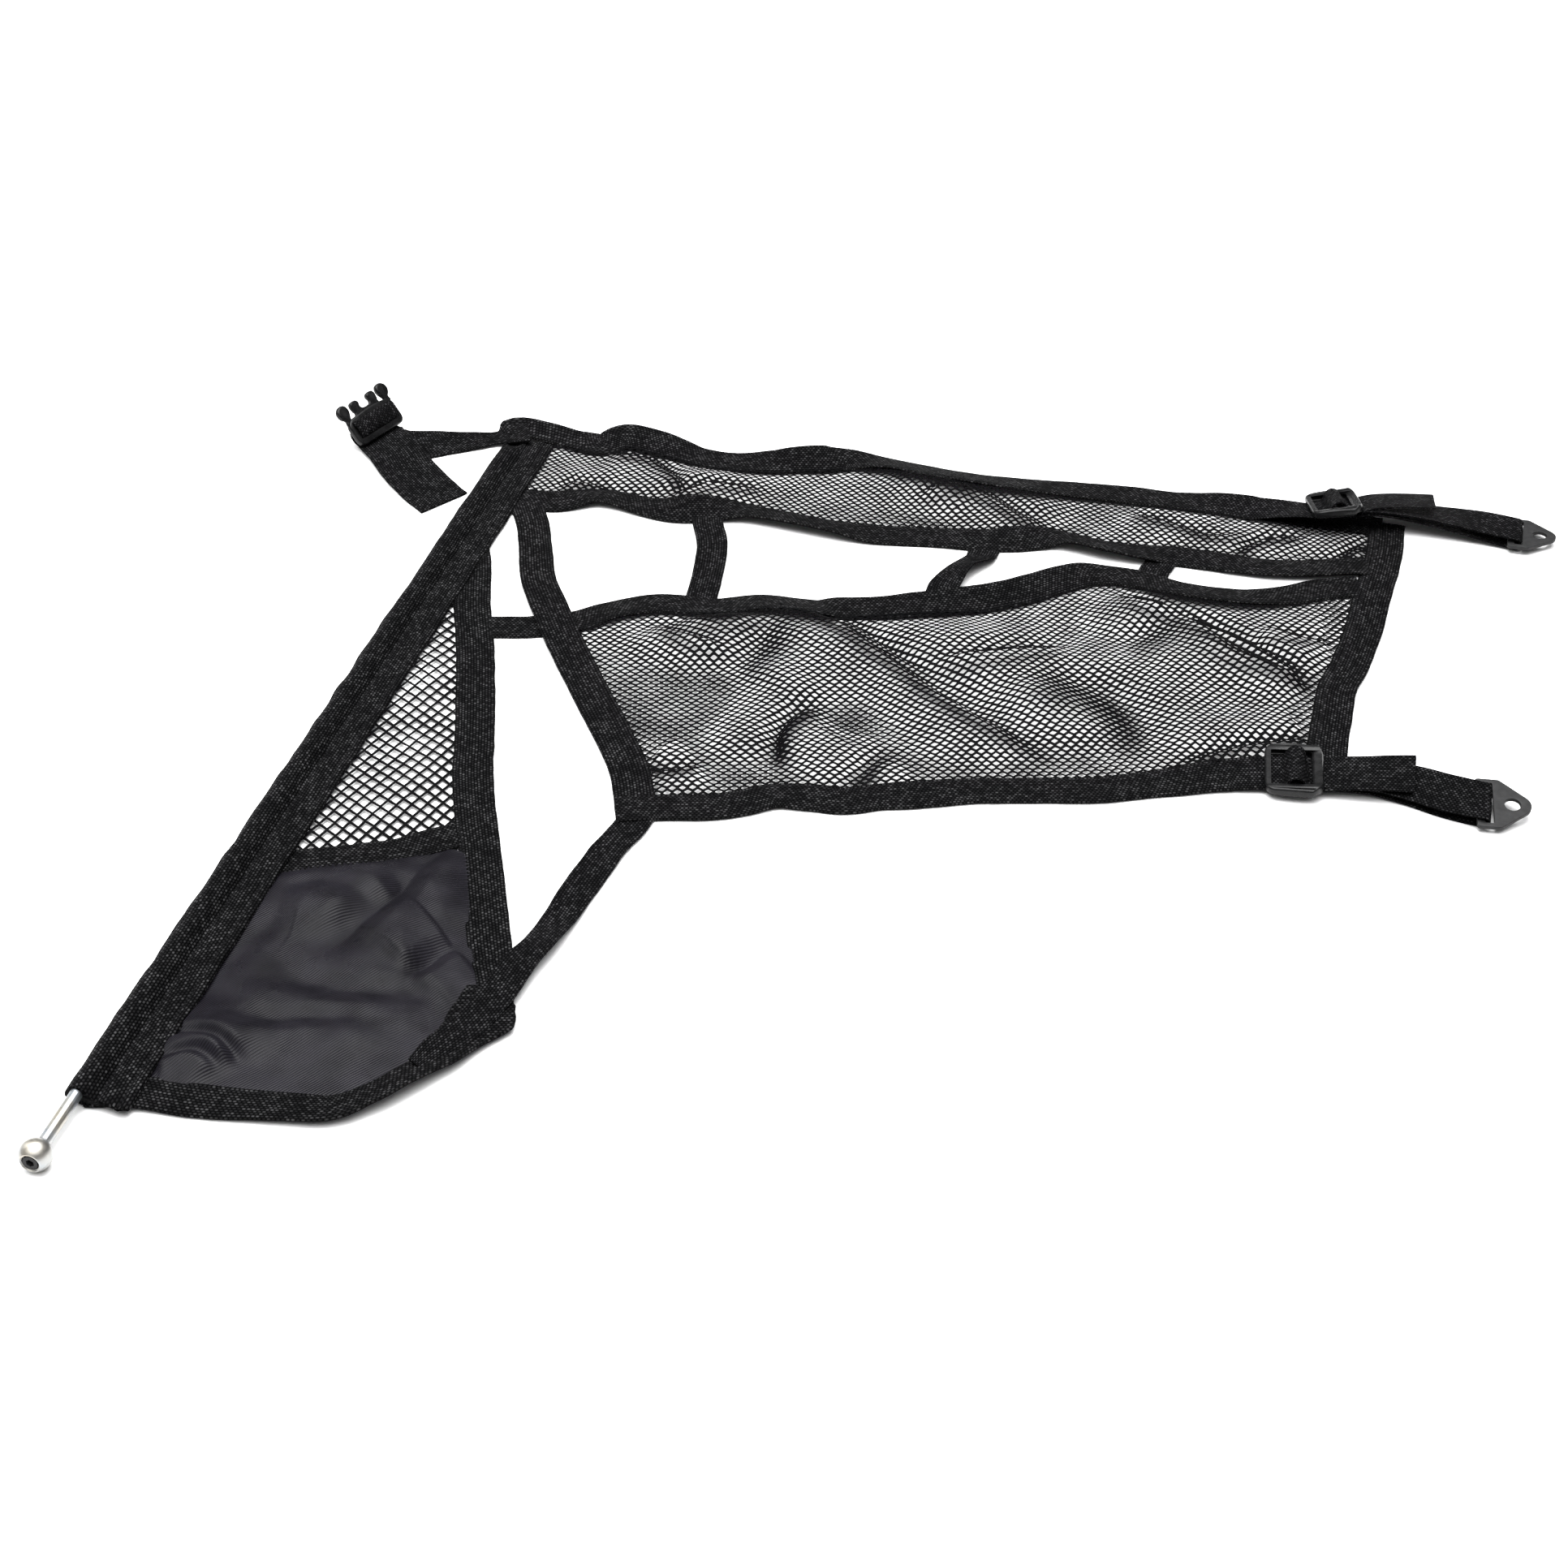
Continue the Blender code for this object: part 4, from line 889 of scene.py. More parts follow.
# Each fold: its line, valley depth, slope widths near and far, pull, and where it fades in and out.
MAIN_FOLDS = [
    ([(-66, 118), (-40, 90), (-20, 60), (0, 35), (20, 10), (45, -20), (65, -42), (88, -66), (120, -92)],
     8.5, 14.0, 46.0, 3.4, 0.0, 0.35),
    ([(-46, 112), (-26, 88), (-6, 60), (14, 36), (34, 14)], 3.0, 7.0, 12.0, 2.0, 0.2, 0.4),
    ([(22, 39), (59, 45), (85, 54), (115, 61), (134, 62)], 5.0, 9.0, 22.0, 2.6, 0.3, 0.3),
    ([(-95, -98), (-93, -72), (-92, -54), (-85, -36), (-76, -24), (-52, -14)], 5.5, 12.0, 18.0, 3.4, 0.35, 0.3),
    ([(-186, -88), (-167, -94), (-143, -86)], 4.4, 7.0, 14.0, 2.6, 0.1, 0.35),
    ([(-185, 98), (-166, 76), (-151, 66), (-125, 50)], 5.4, 9.0, 24.0, 2.6, 0.3, 0.35),
    ([(165, 150), (189, 126), (216, 105), (242, 85), (265, 65), (279, 45), (306, 22)],
     6.5, 11.0, 15.0, 3.2, 0.25, 0.1),
    ([(222, 78), (245, 52), (267, 36), (304, 10)], 5.0, 8.0, 13.0, 2.8, 0.3, 0.1),
    ([(276, 88), (303, 79), (328, 77)], 3.2, 7.0, 12.0, 2.2, 0.3, 0.1),
    ([(186, -88), (220, -73), (245, -64), (289, -53)], 5.4, 8.0, 13.0, 2.8, 0.25, 0.05),
    ([(88, 32), (120, 12), (147, -2), (164, -30), (176, -80)], 6.5, 38.0, 34.0, 1.3, 0.25, 0.3),
    ([(160, 56), (202, 85), (234, 104)], 6.0, 28.0, 20.0, 0.8, 0.3, 0.3),
    ([(-132, 22), (-112, 48), (-99, 78), (-90, 98)], 6.5, 28.0, 24.0, 1.0, 0.3, 0.3),
    ([(-44, -122), (-26, -89), (-6, -72)], 4.0, 16.0, 18.0, 1.2, 0.2, 0.4),
    ([(-196, 88), (-150, 100), (-90, 104), (-50, 100)], 3.0, 16.0, 10.0, 1.4, 0.2, 0.3),
]
UPPER_FOLDS = [
    ([(-186, 288), (-165, 302), (-140, 313), (-98, 300)], 4.4, 8.0, 12.0, 2.6, 0.2, 0.3),
    ([(-280, 302), (-262, 318), (-237, 310), (-216, 286)], 3.6, 8.0, 10.0, 2.2, 0.3, 0.3),
    ([(-236, 372), (-196, 356), (-178, 326), (-170, 292)], 4.6, 10.0, 14.0, 2.8, 0.15, 0.2),
    ([(-8, 344), (40, 324), (84, 290), (110, 258), (140, 240)], 5.6, 14.0, 18.0, 2.8, 0.2, 0.2),
    ([(20, 284), (48, 300), (78, 294)], 3.4, 7.0, 10.0, 2.2, 0.3, 0.3),
    ([(270, 198), (302, 226), (338, 226)], 4.0, 8.0, 12.0, 2.6, 0.25, 0.3),
    ([(348, 184), (374, 212), (412, 206)], 4.0, 8.0, 12.0, 2.6, 0.2, 0.2),
    ([(188, 272), (228, 252), (258, 232), (286, 236)], 3.6, 10.0, 12.0, 2.4, 0.3, 0.3),
]


# How far each hole reaches toward its end, slanting and side corners, as shares of the lattice.
NET_HOLE = (0.715, 0.625, 0.475)
UPPER_HOLE = (0.69, 0.61, 0.46)
TRIANGLE_HOLE = (0.785, 0.715, 0.705)


def make_netting():
    rear, sleeve = edge(REAR_BAND, -1), sleeve_edge(-6.0)
    low = np.concatenate([edge(UPPER_BOTTOM, 1), fine_line([(364, 189, 1.5), (392, 191, 1.5)])])
    high = np.concatenate([edge(CAP_STRAP, -1), edge(UPPER_TOP, -1)])
    outline = outline_of(low, rear, high, sleeve[::-1])
    obj = netting("upper_netting", outline, 6.9, 3.7, -9.0, UPPER_HOLE, UPPER_FOLDS, 0.8, "upper_mesh", 11.0)
    low_end = fine_line([(226, -89, 2.0), (252, -85, 1.6), (272, -77, 1.2), (306, -64, 1.2)])
    low = np.concatenate([edge(MAIN_BOTTOM, 1), low_end])
    outline = outline_of(low, rear[::-1], edge(MAIN_TOP, -1), edge(MAIN_LEFT, 1))
    obj = netting("main_netting", outline, 7.3, 3.7, 3.0, NET_HOLE, MAIN_FOLDS, 0.8, "main_mesh", 21.0,
                  (55.0, 2.6))
    band = np.concatenate([[(-446, -196, 1.5)], edge(MID_BAND, 1, MID_WIDTH), [(-300, -150, 1.5)]])
    tip = fine_line([(-352, 158, 2.0), (-338, 158, 2.0)])
    outline = outline_of(band, edge(TRIANGLE_REAR_SEEN, -1)[::-1], tip, sleeve[::-1])
    obj = netting("triangle_netting", outline, 10.6, 7.0, 8.0, TRIANGLE_HOLE, [], 1.0, "triangle_mesh", 31.0,
                  (60.0, 1.0))


# Creases of the nylon: line, valley depth, slope widths near and far, pull, and where they fade in and out.
NYLON_FOLDS = [
    ([(-302, -160), (-316, -184), (-334, -222), (-352, -256), (-374, -290), (-392, -310)],
     6.0, 26.0, 20.0, 2.0, 0.1, 0.3),
    ([(-296, -292), (-306, -300), (-316, -314), (-330, -326)], 6.0, 16.0, 14.0, 2.0, 0.1, 0.35),
    ([(-476, -376), (-452, -374), (-430, -386), (-412, -408)], 5.0, 9.0, 9.0, 2.0, 0.1, 0.3),
    ([(-468, -398), (-446, -396), (-424, -410)], 4.0, 8.0, 8.0, 1.5, 0.1, 0.3),
    ([(-430, -232), (-400, -226), (-372, -238), (-350, -262)], 3.4, 22.0, 16.0, 0.5, 0.3, 0.3),
    ([(-420, -300), (-380, -330), (-330, -340), (-296, -332)], 3.4, 22.0, 20.0, 0.5, 0.3, 0.3),
    ([(-450, -350), (-410, -362), (-360, -362), (-320, -372)], 2.6, 16.0, 14.0, 0.5, 0.3, 0.3),
    ([(-404, -214), (-420, -262), (-440, -300), (-452, -340)], 2.4, 16.0, 18.0, 0.5, 0.3, 0.3),
    ([(-352, -210), (-330, -246), (-318, -282)], 2.4, 16.0, 18.0, 0.5, 0.3, 0.3),
]


def make_nylon():
    """The nylon panel: a fine sheet over its creases, with ribs that follow its own threads."""
    binding = edge(TRIANGLE_REAR, -1)
    sleeve = sleeve_edge(-8.0)
    band = np.concatenate([[(-450, -232, 1.5)], edge(MID_BAND, -1, MID_WIDTH), [(-300, -192, 1.5)]])
    hem_end = fine_line([(-290, -372, 3.0), (-270, -318, 2.5)])
    hem = np.concatenate([[(-500, -410, 2.0)], edge(LOWER_HEM, 1, HEM_WIDTH), hem_end])
    outline = outline_of(hem, binding[::-1], band, sleeve[::-1])
    low, right = trimmed(hem, sleeve, binding), trimmed(binding[::-1], hem, band)
    high, left = trimmed(band, sleeve, binding), trimmed(sleeve, hem, band)
    columns, rows = 150, 170
    u, v = np.meshgrid(np.linspace(0, 1, columns), np.linspace(0, 1, rows))
    u, v = u.ravel(), v.ravel()

    def at(line, t):
        lengths = lengths_along(line)
        return read_at(t * lengths[-1], lengths, line)

    meeting = (low[0], left[0]), (low[-1], right[0]), (high[0], left[-1]), (high[-1], right[-1])
    ends = [(one + other) / 2 for one, other in meeting]
    flat = at(low, u) * (1 - v)[:, None] + at(high, u) * v[:, None]
    flat += at(left, v) * (1 - u)[:, None] + at(right, v) * u[:, None]
    flat -= (np.outer((1 - u) * (1 - v), ends[0]) + np.outer(u * (1 - v), ends[1])
             + np.outer((1 - u) * v, ends[2]) + np.outer(u * v, ends[3]))
    plan, height, _ = folded(flat, NYLON_FOLDS)
    hush = 1 - np.exp(-edge_gap(flat, outline) / 12.0)
    rise = 1.25 * height + rolling(flat, 38.0, 2.0, 41.0) + rolling(flat, 17.0, 0.9, 43.0) + 1.2
    z = flat[:, 2] + rise * hush
    z = np.maximum(z, 0.8)
    mid = np.column_stack([flat[:, :2] + (plan - flat[:, :2]) * hush[:, None], z])
    half_thickness = (0, 0, 0.3)
    points = np.concatenate([mid + half_thickness, mid - half_thickness])
    n = len(mid)
    a = (np.arange(rows - 1)[:, None] * columns + np.arange(columns - 1)[None, :]).ravel()
    upper = np.stack([a, a + 1, a + columns + 1, a + columns], axis=1)
    lower = upper[:, ::-1] + n
    border = np.concatenate([
        np.arange(columns), (np.arange(1, rows) + 1) * columns - 1,
        (rows - 1) * columns + np.arange(columns - 2, -1, -1), np.arange(rows - 2, 0, -1) * columns,
    ])
    nxt = np.roll(border, -1)
    rim = np.stack([border, border + n, nxt + n, nxt], axis=1)
    faces = np.concatenate([upper, lower, rim])
    uvs = np.concatenate([flat[:, :2], flat[:, :2]])[faces.ravel()] * MM
    obj = build("lower_nylon", points, faces.tolist(), NYLON, uvs, sharp=100)
    ride_as(obj, "nylon", "net", "lower_fabric")


# ---------------------------------------------------------------- straps at the hardware


TAB_LOOP_RADIUS = 4.3
STRAP_GAP = 1.2
BUCKLE = dict(at=(-432.0, 396.0, 7.0), yaw=148.4, pitch=50.0)


def looped(route, width, bar, reach, skew, spacing=4.0):
    """Stations of a strap that runs out under itself, turns round a bar and comes back on top."""
    turn = np.array(frame_of(**bar).to_3x3())
    across = turn @ (math.sin(math.radians(skew)), math.cos(math.radians(skew)), 0)
    end = np.array(route[-1][:3]) + turn @ (*reach, 0)
    centres, left, wide = along([*route[:-1], (*end, *route[-1][3:])], width, spacing)
    share = np.linspace(0, 1, len(centres))[:, None]
    left = unit_rows(left + (across - left) * share ** 2)
    up = uppers(centres, left)
    half = STRAP_GAP + (TAB_LOOP_RADIUS - STRAP_GAP) * share ** 2
    forward = np.cross(left[-1], up[-1])
    if forward @ (centres[-1] - centres[-2]) < 0:
        forward = -forward
    angle = np.pi * np.arange(1, 12)[:, None] / 12
    round_bar = centres[-1] + (forward * np.sin(angle) - up[-1] * np.cos(angle)) * TAB_LOOP_RADIUS
    lines = np.concatenate([centres - up * half, round_bar, (centres + up * half)[::-1]])
    lefts = np.concatenate([left, np.tile(left[-1], (len(angle), 1)), left[::-1]])
    return lines, lefts, np.concatenate([wide, np.full(len(angle), wide[-1]), wide[::-1]])


def across_travel(left, centres):
    """The width directions with any part along the strap's travel taken out."""
    ahead = headings(centres)
    return unit_rows(left - ahead * (ahead * left).sum(axis=1)[:, None])


def over_bars(route, width, pose, spacing=1.6):
    """Stations of a strap threaded through a buckle, from the buckle's own frame, its width along the bars."""
    here = resample([full(point, width) for point in route], spacing)
    tilt = np.radians(here[:, 3])
    left = np.stack([np.zeros(len(tilt)), np.cos(tilt), np.sin(tilt)], axis=1)
    left = across_travel(left, here[:, :3])
    return in_pose(here[:, :3], pose), left @ np.array(pose.to_3x3()).T, here[:, 4]


def threaded(name, stations, body, nodes, seed, **settings):
    """A strap through or beside the hardware; one that bends across a joint is given no body."""
    obj = sweep(name, stations, section(STRAP_THICK), STRAP, seed, **settings)
    if body:
        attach(obj, body)
    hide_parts(*nodes)
    return obj


LOWER_FEED = [(200, -105, 2.2, 2, 32), (216, -102, 2.8, 1, 35), (234, -101, 4.0, 1, 37), (247, -101.5, 4.6, 3),
              (257, -102.5, 4.8, 4)]
UPPER_FEED = [(292, 272, 4.8, 12, 28), (308, 268, 6.2, 3, 31), (324, 263, 8.4, -6, 35), (337, 259, 9.6, -11),
              (348, 256.5, 9.8, -12)]
# The tail's way over the adjuster's middle bar, in the adjuster's own frame.
THREADED = [
    (-0.5, 0, -3.4, 0, 39.4), (5.0, 0, -2.6, 0, 39.4), (9.6, 0, -2.3, 0, 39.2), (12.0, 0, -0.8, 0, 38.6),
    (13.4, 0, 3.0, 0), (15.6, 0, 6.4, 0), (19.6, 0, 8.0, 0), (23.6, 0, 6.2, 0), (25.8, 0, 2.2, 0, 38.0),
    (27.4, 0.4, -1.2, 0, 39.0), (30.0, 1.0, -2.0, 0, 39.4), (34.5, 1.0, -2.4, 0, 38.6),
    (39.5, 0.4, -1.6, 0), (44.5, 0, -0.4, 0),
]


# Each side: the loop out to the tab, the feed into the adjuster, the free tail past the adjuster's bars, the
# places of the adjuster and the tab, how the loop reaches past the tab's bar and its skew there, and the slant of
# the tail's cut.
SIDES = {
    "lower": ([(268, -103, 4.6, 3), (286, -104.5, 5.4, 1), *LOWER_LOOP], LOWER_FEED,
              [(54, 0, 1.6, 0), (68, 0, 3.4, 0), (84, 0.6, 4.6, 2), (101, 1.6, 5.0, 4)],
              LOWER_ADJUSTER, LOWER_TAB, (3.4, -0.9), 5.0, 2.6),
    "upper": ([(352, 259, 8.0, -12), (372, 256.5, 12.4, -13), *UPPER_LOOP], UPPER_FEED,
              [(54, 0, 0.3, 0), (68, 0, -0.2, 0), (84, -0.6, -1.6, 0), (99, -1.6, -3.2, 0)],
              UPPER_ADJUSTER, UPPER_TAB, (4.2, 0.0), 0.0, 1.4),
}


def make_loops():
    wide = ADJUST_WIDTH - 1
    for side, (loop, feed, tail, adjuster, tab, reach, skew, slant) in SIDES.items():
        threaded(f"{side}_loop_webbing", looped(loop, wide, tab, reach, skew), "net",
                 [f"{side}_loop_strap"], 21, edge_waver=0.3)
        threaded(f"{side}_adjuster_feed", along(feed, wide), "net", [f"{side}_adjuster_loop"], 23,
                 edge_waver=0.25)
        threaded(f"{side}_tail_webbing", over_bars([*THREADED, *tail], wide, frame_of(**adjuster)),
                 f"{side}_adjuster_body", [f"{side}_adjuster_webbing", f"{side}_strap_tail"], 27,
                 edge_waver=0.3, lift_waver=0.2, slant=(0.0, slant))


def turned_to(stations, axis, reach, from_end=False):
    """The stations with their width direction swung to an axis near one end."""
    centres, left, wide = stations
    lengths = lengths_along(centres)
    if from_end:
        lengths = lengths[-1] - lengths
    share = np.exp(-(lengths / reach) ** 2)[:, None]
    axis = unit(axis) * np.sign((left[-1 if from_end else 0] @ axis) or 1.0)
    return centres, across_travel(left * (1 - share) + axis * share, centres), wide


RELEASE_ROUTE = [
    (-306, 396, 8.4, 0, 34), (-320, 394, 7.4, -2, 30), (-333, 391, 5.4, -14, 16), (-350, 388, 4.8, -16, 20),
    (-372, 385, 3.8, -10, 30), (-396, 385, 2.2, 0), (-419, 388, 1.8, 0), (-434, 397, 1.9, 0),
    (-442, 402, 5.0, 0), (-446, 404.6, 11.0, 0), (-444.5, 403.8, 17.0, 0),
]
RELEASE_TAIL = [
    (-437.5, 401, 6.6, 0), (-433, 394, 4.2, 0), (-426, 382, 4.1, 0), (-417, 367, 3.8, 0), (-404, 340, 2.4, 0),
    (-384, 308, 1.6, 0), (-368, 286, 1.5, 0),
]
RELEASE_ROLL = [
    (4.8, 0, -3.0, 0), (5.4, 0, 0.2, 0), (8.0, 0, 3.6, 0), (13.4, 0, 5.0, 0), (18.2, 0, 4.2, 0),
    (21.2, 0, 1.6, 0), (21.8, 0, -2.4, 0),
]


def make_release_strap():
    """The wide strap and its tail, which bend at the buckle, and the roll of webbing over the buckle's bar."""
    pose = frame_of(**BUCKLE)
    bars = np.array(pose.to_3x3()) @ (0, 1, 0)
    stations = turned_to(along(RELEASE_ROUTE, RELEASE_WIDTH), bars, 34.0, from_end=True)
    strap = threaded("release_strap_webbing", stations, None, ["release_strap"], 31)
    stations = turned_to(along(RELEASE_TAIL, RELEASE_WIDTH), bars, 22.0)
    tail = threaded("release_tail_webbing", stations, None, ["release_tail"], 33, slant=(0.0, -3.0))
    for obj in (strap, tail):
        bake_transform(obj)
    stations = over_bars(RELEASE_ROLL, RELEASE_WIDTH + 2, pose, 1.2)
    threaded("release_roll_webbing", stations, "release_buckle_body", ["release_buckle_webbing"], 35,
             edge_waver=0.2, lift_waver=0.1)


# ---------------------------------------------------------------- moulded and pressed hardware


def dense(outline, step=1.5):
    """A closed outline with its long edges divided, so that it can bend."""
    line = []
    for a, b in zip(outline, [*outline[1:], outline[0]]):
        a, b = np.array(a, float), np.array(b, float)
        count = max(1, math.ceil(float(np.linalg.norm(b - a)) / step))
        line += [a + (b - a) * k / count for k in range(count)]
    return line


def rounded(corners, radius, steps=5):
    """A closed outline with each corner turned into an arc."""
    corners = [np.array(corner, float) for corner in corners]
    radii = radius if isinstance(radius, tuple) else (radius,) * len(corners)
    line = []
    before_all, after_all = corners[-1:] + corners[:-1], corners[1:] + corners[:1]
    for before, corner, after, r in zip(before_all, corners, after_all, radii):
        a, b = unit(before - corner), unit(after - corner)
        half = math.acos(float(np.clip(a @ b, -1, 1))) / 2
        middle = corner + unit(a + b) * r / math.sin(half)
        start, end = corner + a * r / math.tan(half) - middle, corner + b * r / math.tan(half) - middle
        line += [middle + unit(start + (end - start) * k / steps) * r for k in range(steps + 1)]
    return dense(line)


def flowing(points, steps=5):
    """A smooth closed outline through the points."""
    points = [np.array(point, float) for point in points]
    line = []
    for k in range(len(points)):
        a, b, c, d = (points[(k + j) % len(points)] for j in (-1, 0, 1, 2))
        line += [between(a, b, c, d, t) for t in np.arange(steps) / steps]
    return line


def anticlockwise(outline):
    return outline if shoelace(np.array(outline)) > 0 else outline[::-1]


def plate(name, outer, holes, thickness, edge_radius, surface, pose, shape=None, woven=False):
    """A plate with holes and rounded rims, bent by shape and set in a pose."""
    curve = bpy.data.curves.new(name, "CURVE")
    curve.dimensions = "2D"
    curve.fill_mode = "BOTH"
    curve.extrude = thickness / 2 - edge_radius
    curve.bevel_depth = edge_radius
    curve.bevel_resolution = 3
    curve.offset = -edge_radius
    for outline in [anticlockwise(list(outer)), *[anticlockwise(list(hole))[::-1] for hole in holes]]:
        line = curve.splines.new("POLY")
        line.points.add(len(outline) - 1)
        for point, (x, y) in zip(line.points, outline):
            point.co = (x, y, 0.0, 1.0)
        line.use_cyclic_u = True
    flat = bpy.data.objects.new(name, curve)
    bpy.context.scene.collection.objects.link(flat)
    bpy.context.view_layer.update()
    made = bpy.data.meshes.new_from_object(flat.evaluated_get(bpy.context.evaluated_depsgraph_get()))
    bpy.data.objects.remove(flat, do_unlink=True)
    work = bmesh.new()
    work.from_mesh(made)
    bmesh.ops.remove_doubles(work, verts=work.verts, dist=0.001)
    bmesh.ops.recalc_face_normals(work, faces=work.faces)
    work.to_mesh(made)
    work.free()
    points = np.array([vertex.co for vertex in made.vertices], float)
    faces = [tuple(polygon.vertices) for polygon in made.polygons]
    bpy.data.meshes.remove(made)
    uvs = points[[k for face in faces for k in face], :2] * MM if woven else None
    if shape:
        points = np.array([shape(*point) for point in points])
    return build(name, in_pose(points, pose), faces, surface, uvs, sharp=42)


def box(x0, x1, half):
    """The corners of a rectangle from x0 to x1, with half its width on each side."""
    return [(x0, -half), (x1, -half), (x1, half), (x0, half)]


def adjuster_shape(x, y, z):
    """Bowed side rails, an arched back and a broad lip that curls up at the outlet."""
    rail = soft_step((abs(y) - 18.5) / 3.0)
    bow = math.sin(math.pi * min(max((x + 2) / 42, 0), 1))
    lip = soft_step((x - 30.0) / 4.0)
    curl = 3.2 * lip - 2.6 * soft_step((x - 34.5) / 4.5)
    thick = 1 + 0.35 * rail * bow + 0.25 * lip
    height = z * thick + 0.9 * rail * bow + curl * (1 - 0.3 * rail) + 0.3
    return x, y + math.copysign(1.8 * rail * bow, y), height


def make_adjusters():
    outline = rounded(box(-2.2, 38.8, 25.0), (7.0, 9.0, 9.0, 7.0), 7)
    holes = [rounded(box(0.6, 17.4, 20.2), 2.4), rounded(box(21.4, 32.2, 20.2), 2.4)]
    for side, bar in (("lower", LOWER_ADJUSTER), ("upper", UPPER_ADJUSTER)):
        obj = plate(f"{side}_ladder_lock", outline, holes, 5.0, 1.5, PLASTIC, frame_of(**bar), adjuster_shape)
        ride_as(obj, "plastic", f"{side}_adjuster_body", f"{side}_adjuster")


def make_tabs():
    half, shoulder, hole_at, hole_radius = 22.5, 14.0, 22.5, 5.5
    corners = [(-2.2, -half), (shoulder, -half), (hole_at + 18.0, 0), (shoulder, half), (-2.2, half)]
    outline = rounded(corners, (2.2, 4.0, 9.5, 4.0, 2.2), 9)
    angles = np.arange(40) * math.tau / 40
    hole = [(hole_at + hole_radius * math.cos(a), hole_radius * math.sin(a)) for a in angles]
    slot = rounded(box(2.5, 10.0, half - 3.2), 1.6)
    for side, bar in (("lower", LOWER_TAB), ("upper", UPPER_TAB)):
        obj = plate(f"{side}_tab_plate", outline, [slot, hole], 3.0, 0.45, STEEL, frame_of(**bar))
        ride_as(obj, "coated_steel", f"{side}_tab", f"{side}_anchor_tab")


def buckle_shape(x, y, z):
    """A far rail that bows outward and ends that drop slightly."""
    bow = 1 - (y / 29.0) ** 2
    return x + 2.6 * bow * soft_step((x - 10.0) / 9.0), y, z + 1.2 * bow - 0.8


def make_buckle():
    pose = frame_of(**BUCKLE)
    hole = rounded(box(3.6, 19.4, 24.4), 3.5)
    outline = rounded(box(-0.4, 23.4, 29.0), 6.5, 7)
    frame_piece = plate("buckle_frame", outline, [hole], 5.2, 1.6, PLASTIC, pose, buckle_shape)
    ride_as(frame_piece, "plastic", "release_buckle_body", "release_buckle")
    bar = plate("buckle_middle_bar", rounded(box(11.4, 15.2, 26.0), 1.6), [], 3.2, 1.4, PLASTIC, pose)
    ride_as(bar, "plastic", "release_buckle_body")
    guide = [(19.6, -19.5), (23.5, -16.5), (26.6, -15.0), (29.0, -15.8), (32.6, -16.0), (36.4, -14.0),
             (36.8, -8.2), (34.0, -5.6), (30.4, -5.8), (28.2, -4.4)]
    nose = [*guide, (27.6, 0), *[(x, -y) for x, y in guide[::-1]]]
    guides = plate("buckle_guides", flowing(nose), [], 4.4, 1.3, PLASTIC, pose,
                   lambda x, y, z: (x, y, z * (0.7 + 0.45 * soft_step((x - 30.0) / 5.0)) + 0.6))
    ride_as(guides, "plastic", "release_buckle_body")
    for side, name in ((-1, "left"), (1, "right")):
        flex = pose @ Matrix.Translation((23.4, side * 25.0, 0.0))
        outline = [(-2.5, -3.6), (1.0, -3.4), (2.6, -4.2), (4.6, -6.4), (8.6, -7.2), (12.6, -6.0),
                   (15.2, -1.6), (14.4, 3.6), (10.4, 5.8), (5.2, 5.2), (2.6, 3.8), (1.0, 3.4), (-2.5, 3.6)]
        arm = plate(f"buckle_arm_{name}_moulded", flowing([(x, side * -y) for x, y in outline]), [], 4.6, 1.9,
                    PLASTIC, flex, lambda x, y, z: (x, y, z * (0.72 + 0.45 * soft_step((x - 4.0) / 4.0))))
        ride_as(arm, "plastic", f"arm_{name}", f"buckle_arm_{name}")


def turned(name, profile, pose, surface, sides=56):
    """A piece turned on a lathe, from (length, radius) points along its own X."""
    points, faces = [], []
    for x, r in profile:
        for a in np.arange(sides) * math.tau / sides:
            points.append((x, r * math.cos(a), r * math.sin(a)))
    for k in range(len(profile) - 1):
        for j in range(sides):
            a, b = k * sides + j, k * sides + (j + 1) % sides
            faces.append((a, a + sides, b + sides, b))
    faces.append(tuple(range(sides)))
    faces.append(tuple((len(profile) - 1) * sides + j for j in range(sides))[::-1])
    return build(name, in_pose(points, pose), faces, surface, sharp=32)


def make_ball():
    """The rod's ball, with a flat ring round its screw's socket and a small flat where it meets the rod."""
    radius, flat = 10.0, -7.6
    profile = [(-4.0, 5.2), (-6.6, 5.25), (-7.0, 5.5), (-7.05, 5.75), (flat + 0.12, 5.9), (flat, 6.05),
               (flat, 6.35), (flat + 0.15, 6.6)]
    angles = [math.radians(a) for a in range(138, 24, -4)]
    profile += [(radius * math.cos(a), radius * math.sin(a)) for a in angles]
    profile += [(9.3, 4.5), (9.25, 4.35)]
    obj = turned("rod_ball_turned", profile, rod_pose(), ZINC)
    ride_as(obj, "zinc", "rod", "rod_ball")


# ---------------------------------------------------------------- the sewn corner


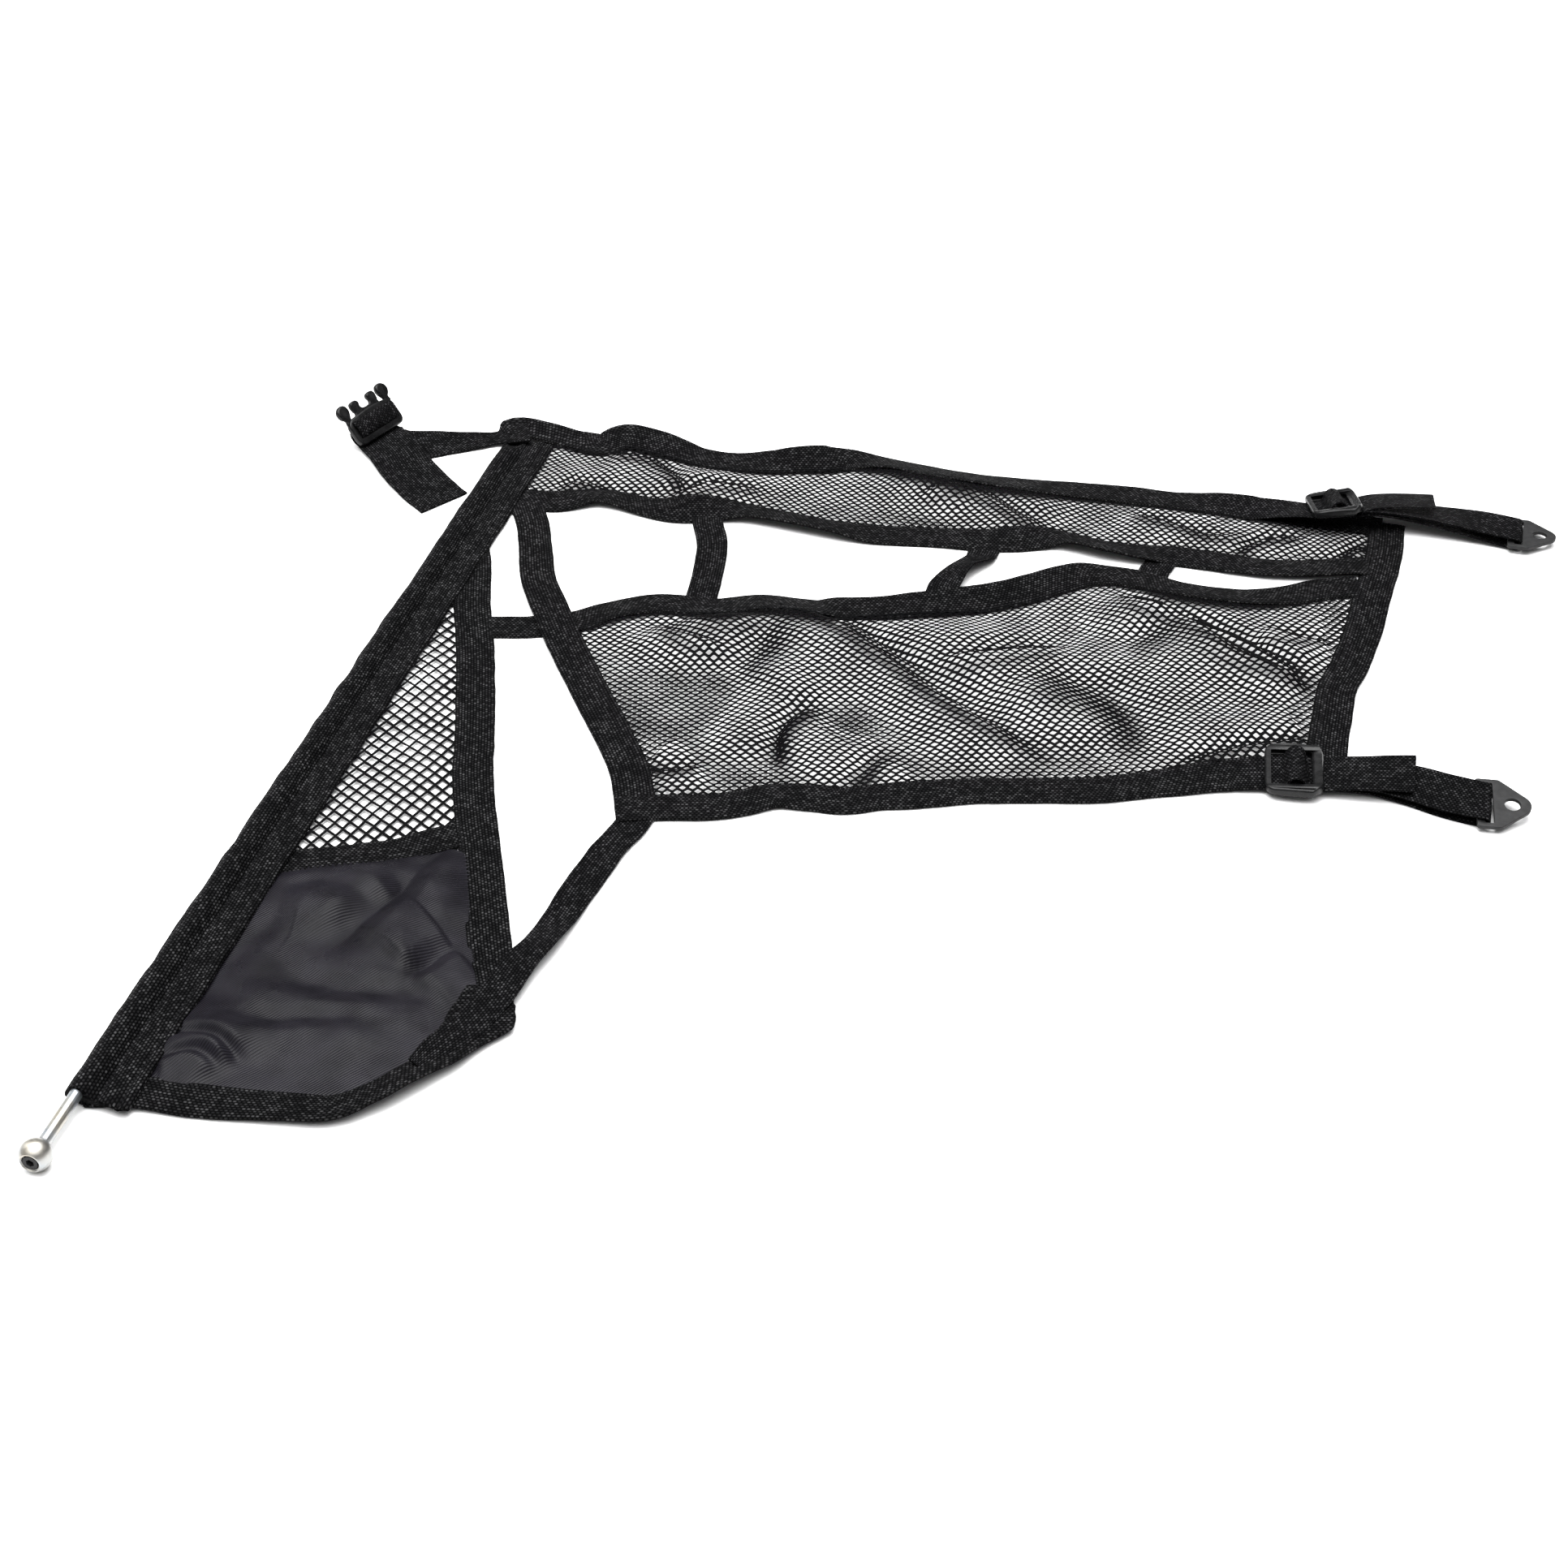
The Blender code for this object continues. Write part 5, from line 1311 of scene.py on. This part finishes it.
def make_patch():
    """The reinforced corner where the hem, the rear binding and the diagonal strap are sewn together."""
    outline = dense([(-286, -330), (-260, -328), (-256, -338), (-252.6, -364), (-254, -372), (-270, -384),
                     (-287, -397), (-302, -380), (-294, -352)], 2.5)
    def fray(x, y, seed):
        return 0.9 * noise.noise(Vector((x / 4, y / 4, seed)))

    ragged = [(x + fray(x, y, 1.0), y + fray(x, y, 5.0)) for x, y in outline]
    obj = plate("corner_patch_webbing", ragged, [], 2.2, 0.8, BINDING, frame_of((0, 0, 0)),
                lambda x, y, z: (x, y, 4.9 + z + 0.8 * noise.noise(Vector((x / 9, y / 9, 2.0)))), woven=True)
    ride_as(obj, "webbing", "net", "corner_patch")
    fold = sweep("rear_fold_webbing", along([(-273, -303, 3.0, 0, 26), (-268, -324, 3.4, 0, 26),
                                             (-266, -336, 3.4, 0, 22)], 26.0), section(2.0), BINDING, 51)
    ride_as(fold, "webbing", "net")


# ---------------------------------------------------------------- camera, light and floor


CAMERA_AT = (-87.0, -1535.0, 1036.7)
CAMERA_TILT = 54.0
CAMERA_LENS = 57.76
FLOOR_SIZE = 14.0


def make_camera():
    camera = bpy.data.objects.new("camera", bpy.data.cameras.new("camera"))
    bpy.context.scene.collection.objects.link(camera)
    camera.location = at_frame(CAMERA_AT)
    camera.rotation_euler = (math.radians(CAMERA_TILT), 0.0, 0.0)
    camera.data.lens = CAMERA_LENS
    camera.data.sensor_width = 36.0
    camera.data.clip_end = 50.0
    bpy.context.scene.camera = camera


def area_light(name, place, aim, size, power):
    lamp = bpy.data.lights.new(name, "AREA")
    lamp.shape = "RECTANGLE"
    lamp.size, lamp.size_y = size
    lamp.energy = power
    obj = bpy.data.objects.new(name, lamp)
    bpy.context.scene.collection.objects.link(obj)
    obj.location = place
    obj.rotation_euler = (Vector(aim) - Vector(place)).to_track_quat("-Z", "Y").to_euler()


def make_stage():
    """A pale floor, a world that is brightest overhead, and two softboxes."""
    bpy.ops.mesh.primitive_plane_add(size=FLOOR_SIZE, location=(0, 0, 0))
    floor = bpy.context.object
    floor.name = "floor"
    g = Graph("pale_floor")
    floor.data.materials.append(g.finish((0.93, 0.93, 0.93), 0.9, 0.1))
    world = bpy.data.worlds.new("studio")
    world.use_nodes = True
    tree = world.node_tree
    split = tree.nodes.new("ShaderNodeSeparateXYZ")
    tree.links.new(tree.nodes.new("ShaderNodeTexCoord").outputs["Generated"], split.inputs[0])
    rise = tree.nodes.new("ShaderNodeMapRange")
    rise.interpolation_type = "SMOOTHSTEP"
    tree.links.new(split.outputs["Z"], rise.inputs["Value"])
    for socket, value in (("From Min", 0.6), ("From Max", 0.95), ("To Min", 0.2), ("To Max", 4.0)):
        rise.inputs[socket].default_value = value
    tree.links.new(rise.outputs[0], tree.nodes["Background"].inputs["Strength"])
    tree.nodes["Background"].inputs["Color"].default_value = (1.0, 1.0, 1.0, 1.0)
    bpy.context.scene.world = world
    area_light("top_softbox", (-0.2, 0.3, 2.2), (0.0, 0.0, 0.0), (2.2, 1.6), 60.0)
    area_light("left_softbox", (-2.0, 0.6, 1.1), (-0.2, 0.0, 0.0), (1.0, 1.4), 12.0)
    bpy.context.scene.view_settings.view_transform = "Standard"


make_camera()
make_stage()
make_bindings()
make_patch()
make_sleeve()
make_netting()
make_nylon()
make_loops()
make_release_strap()
make_adjusters()
make_tabs()
make_buckle()
make_ball()
make_stitches()
paint(ZINC, "zinc", "front_rod")
paint(STEEL, "coated_steel", "ball_socket_screw")
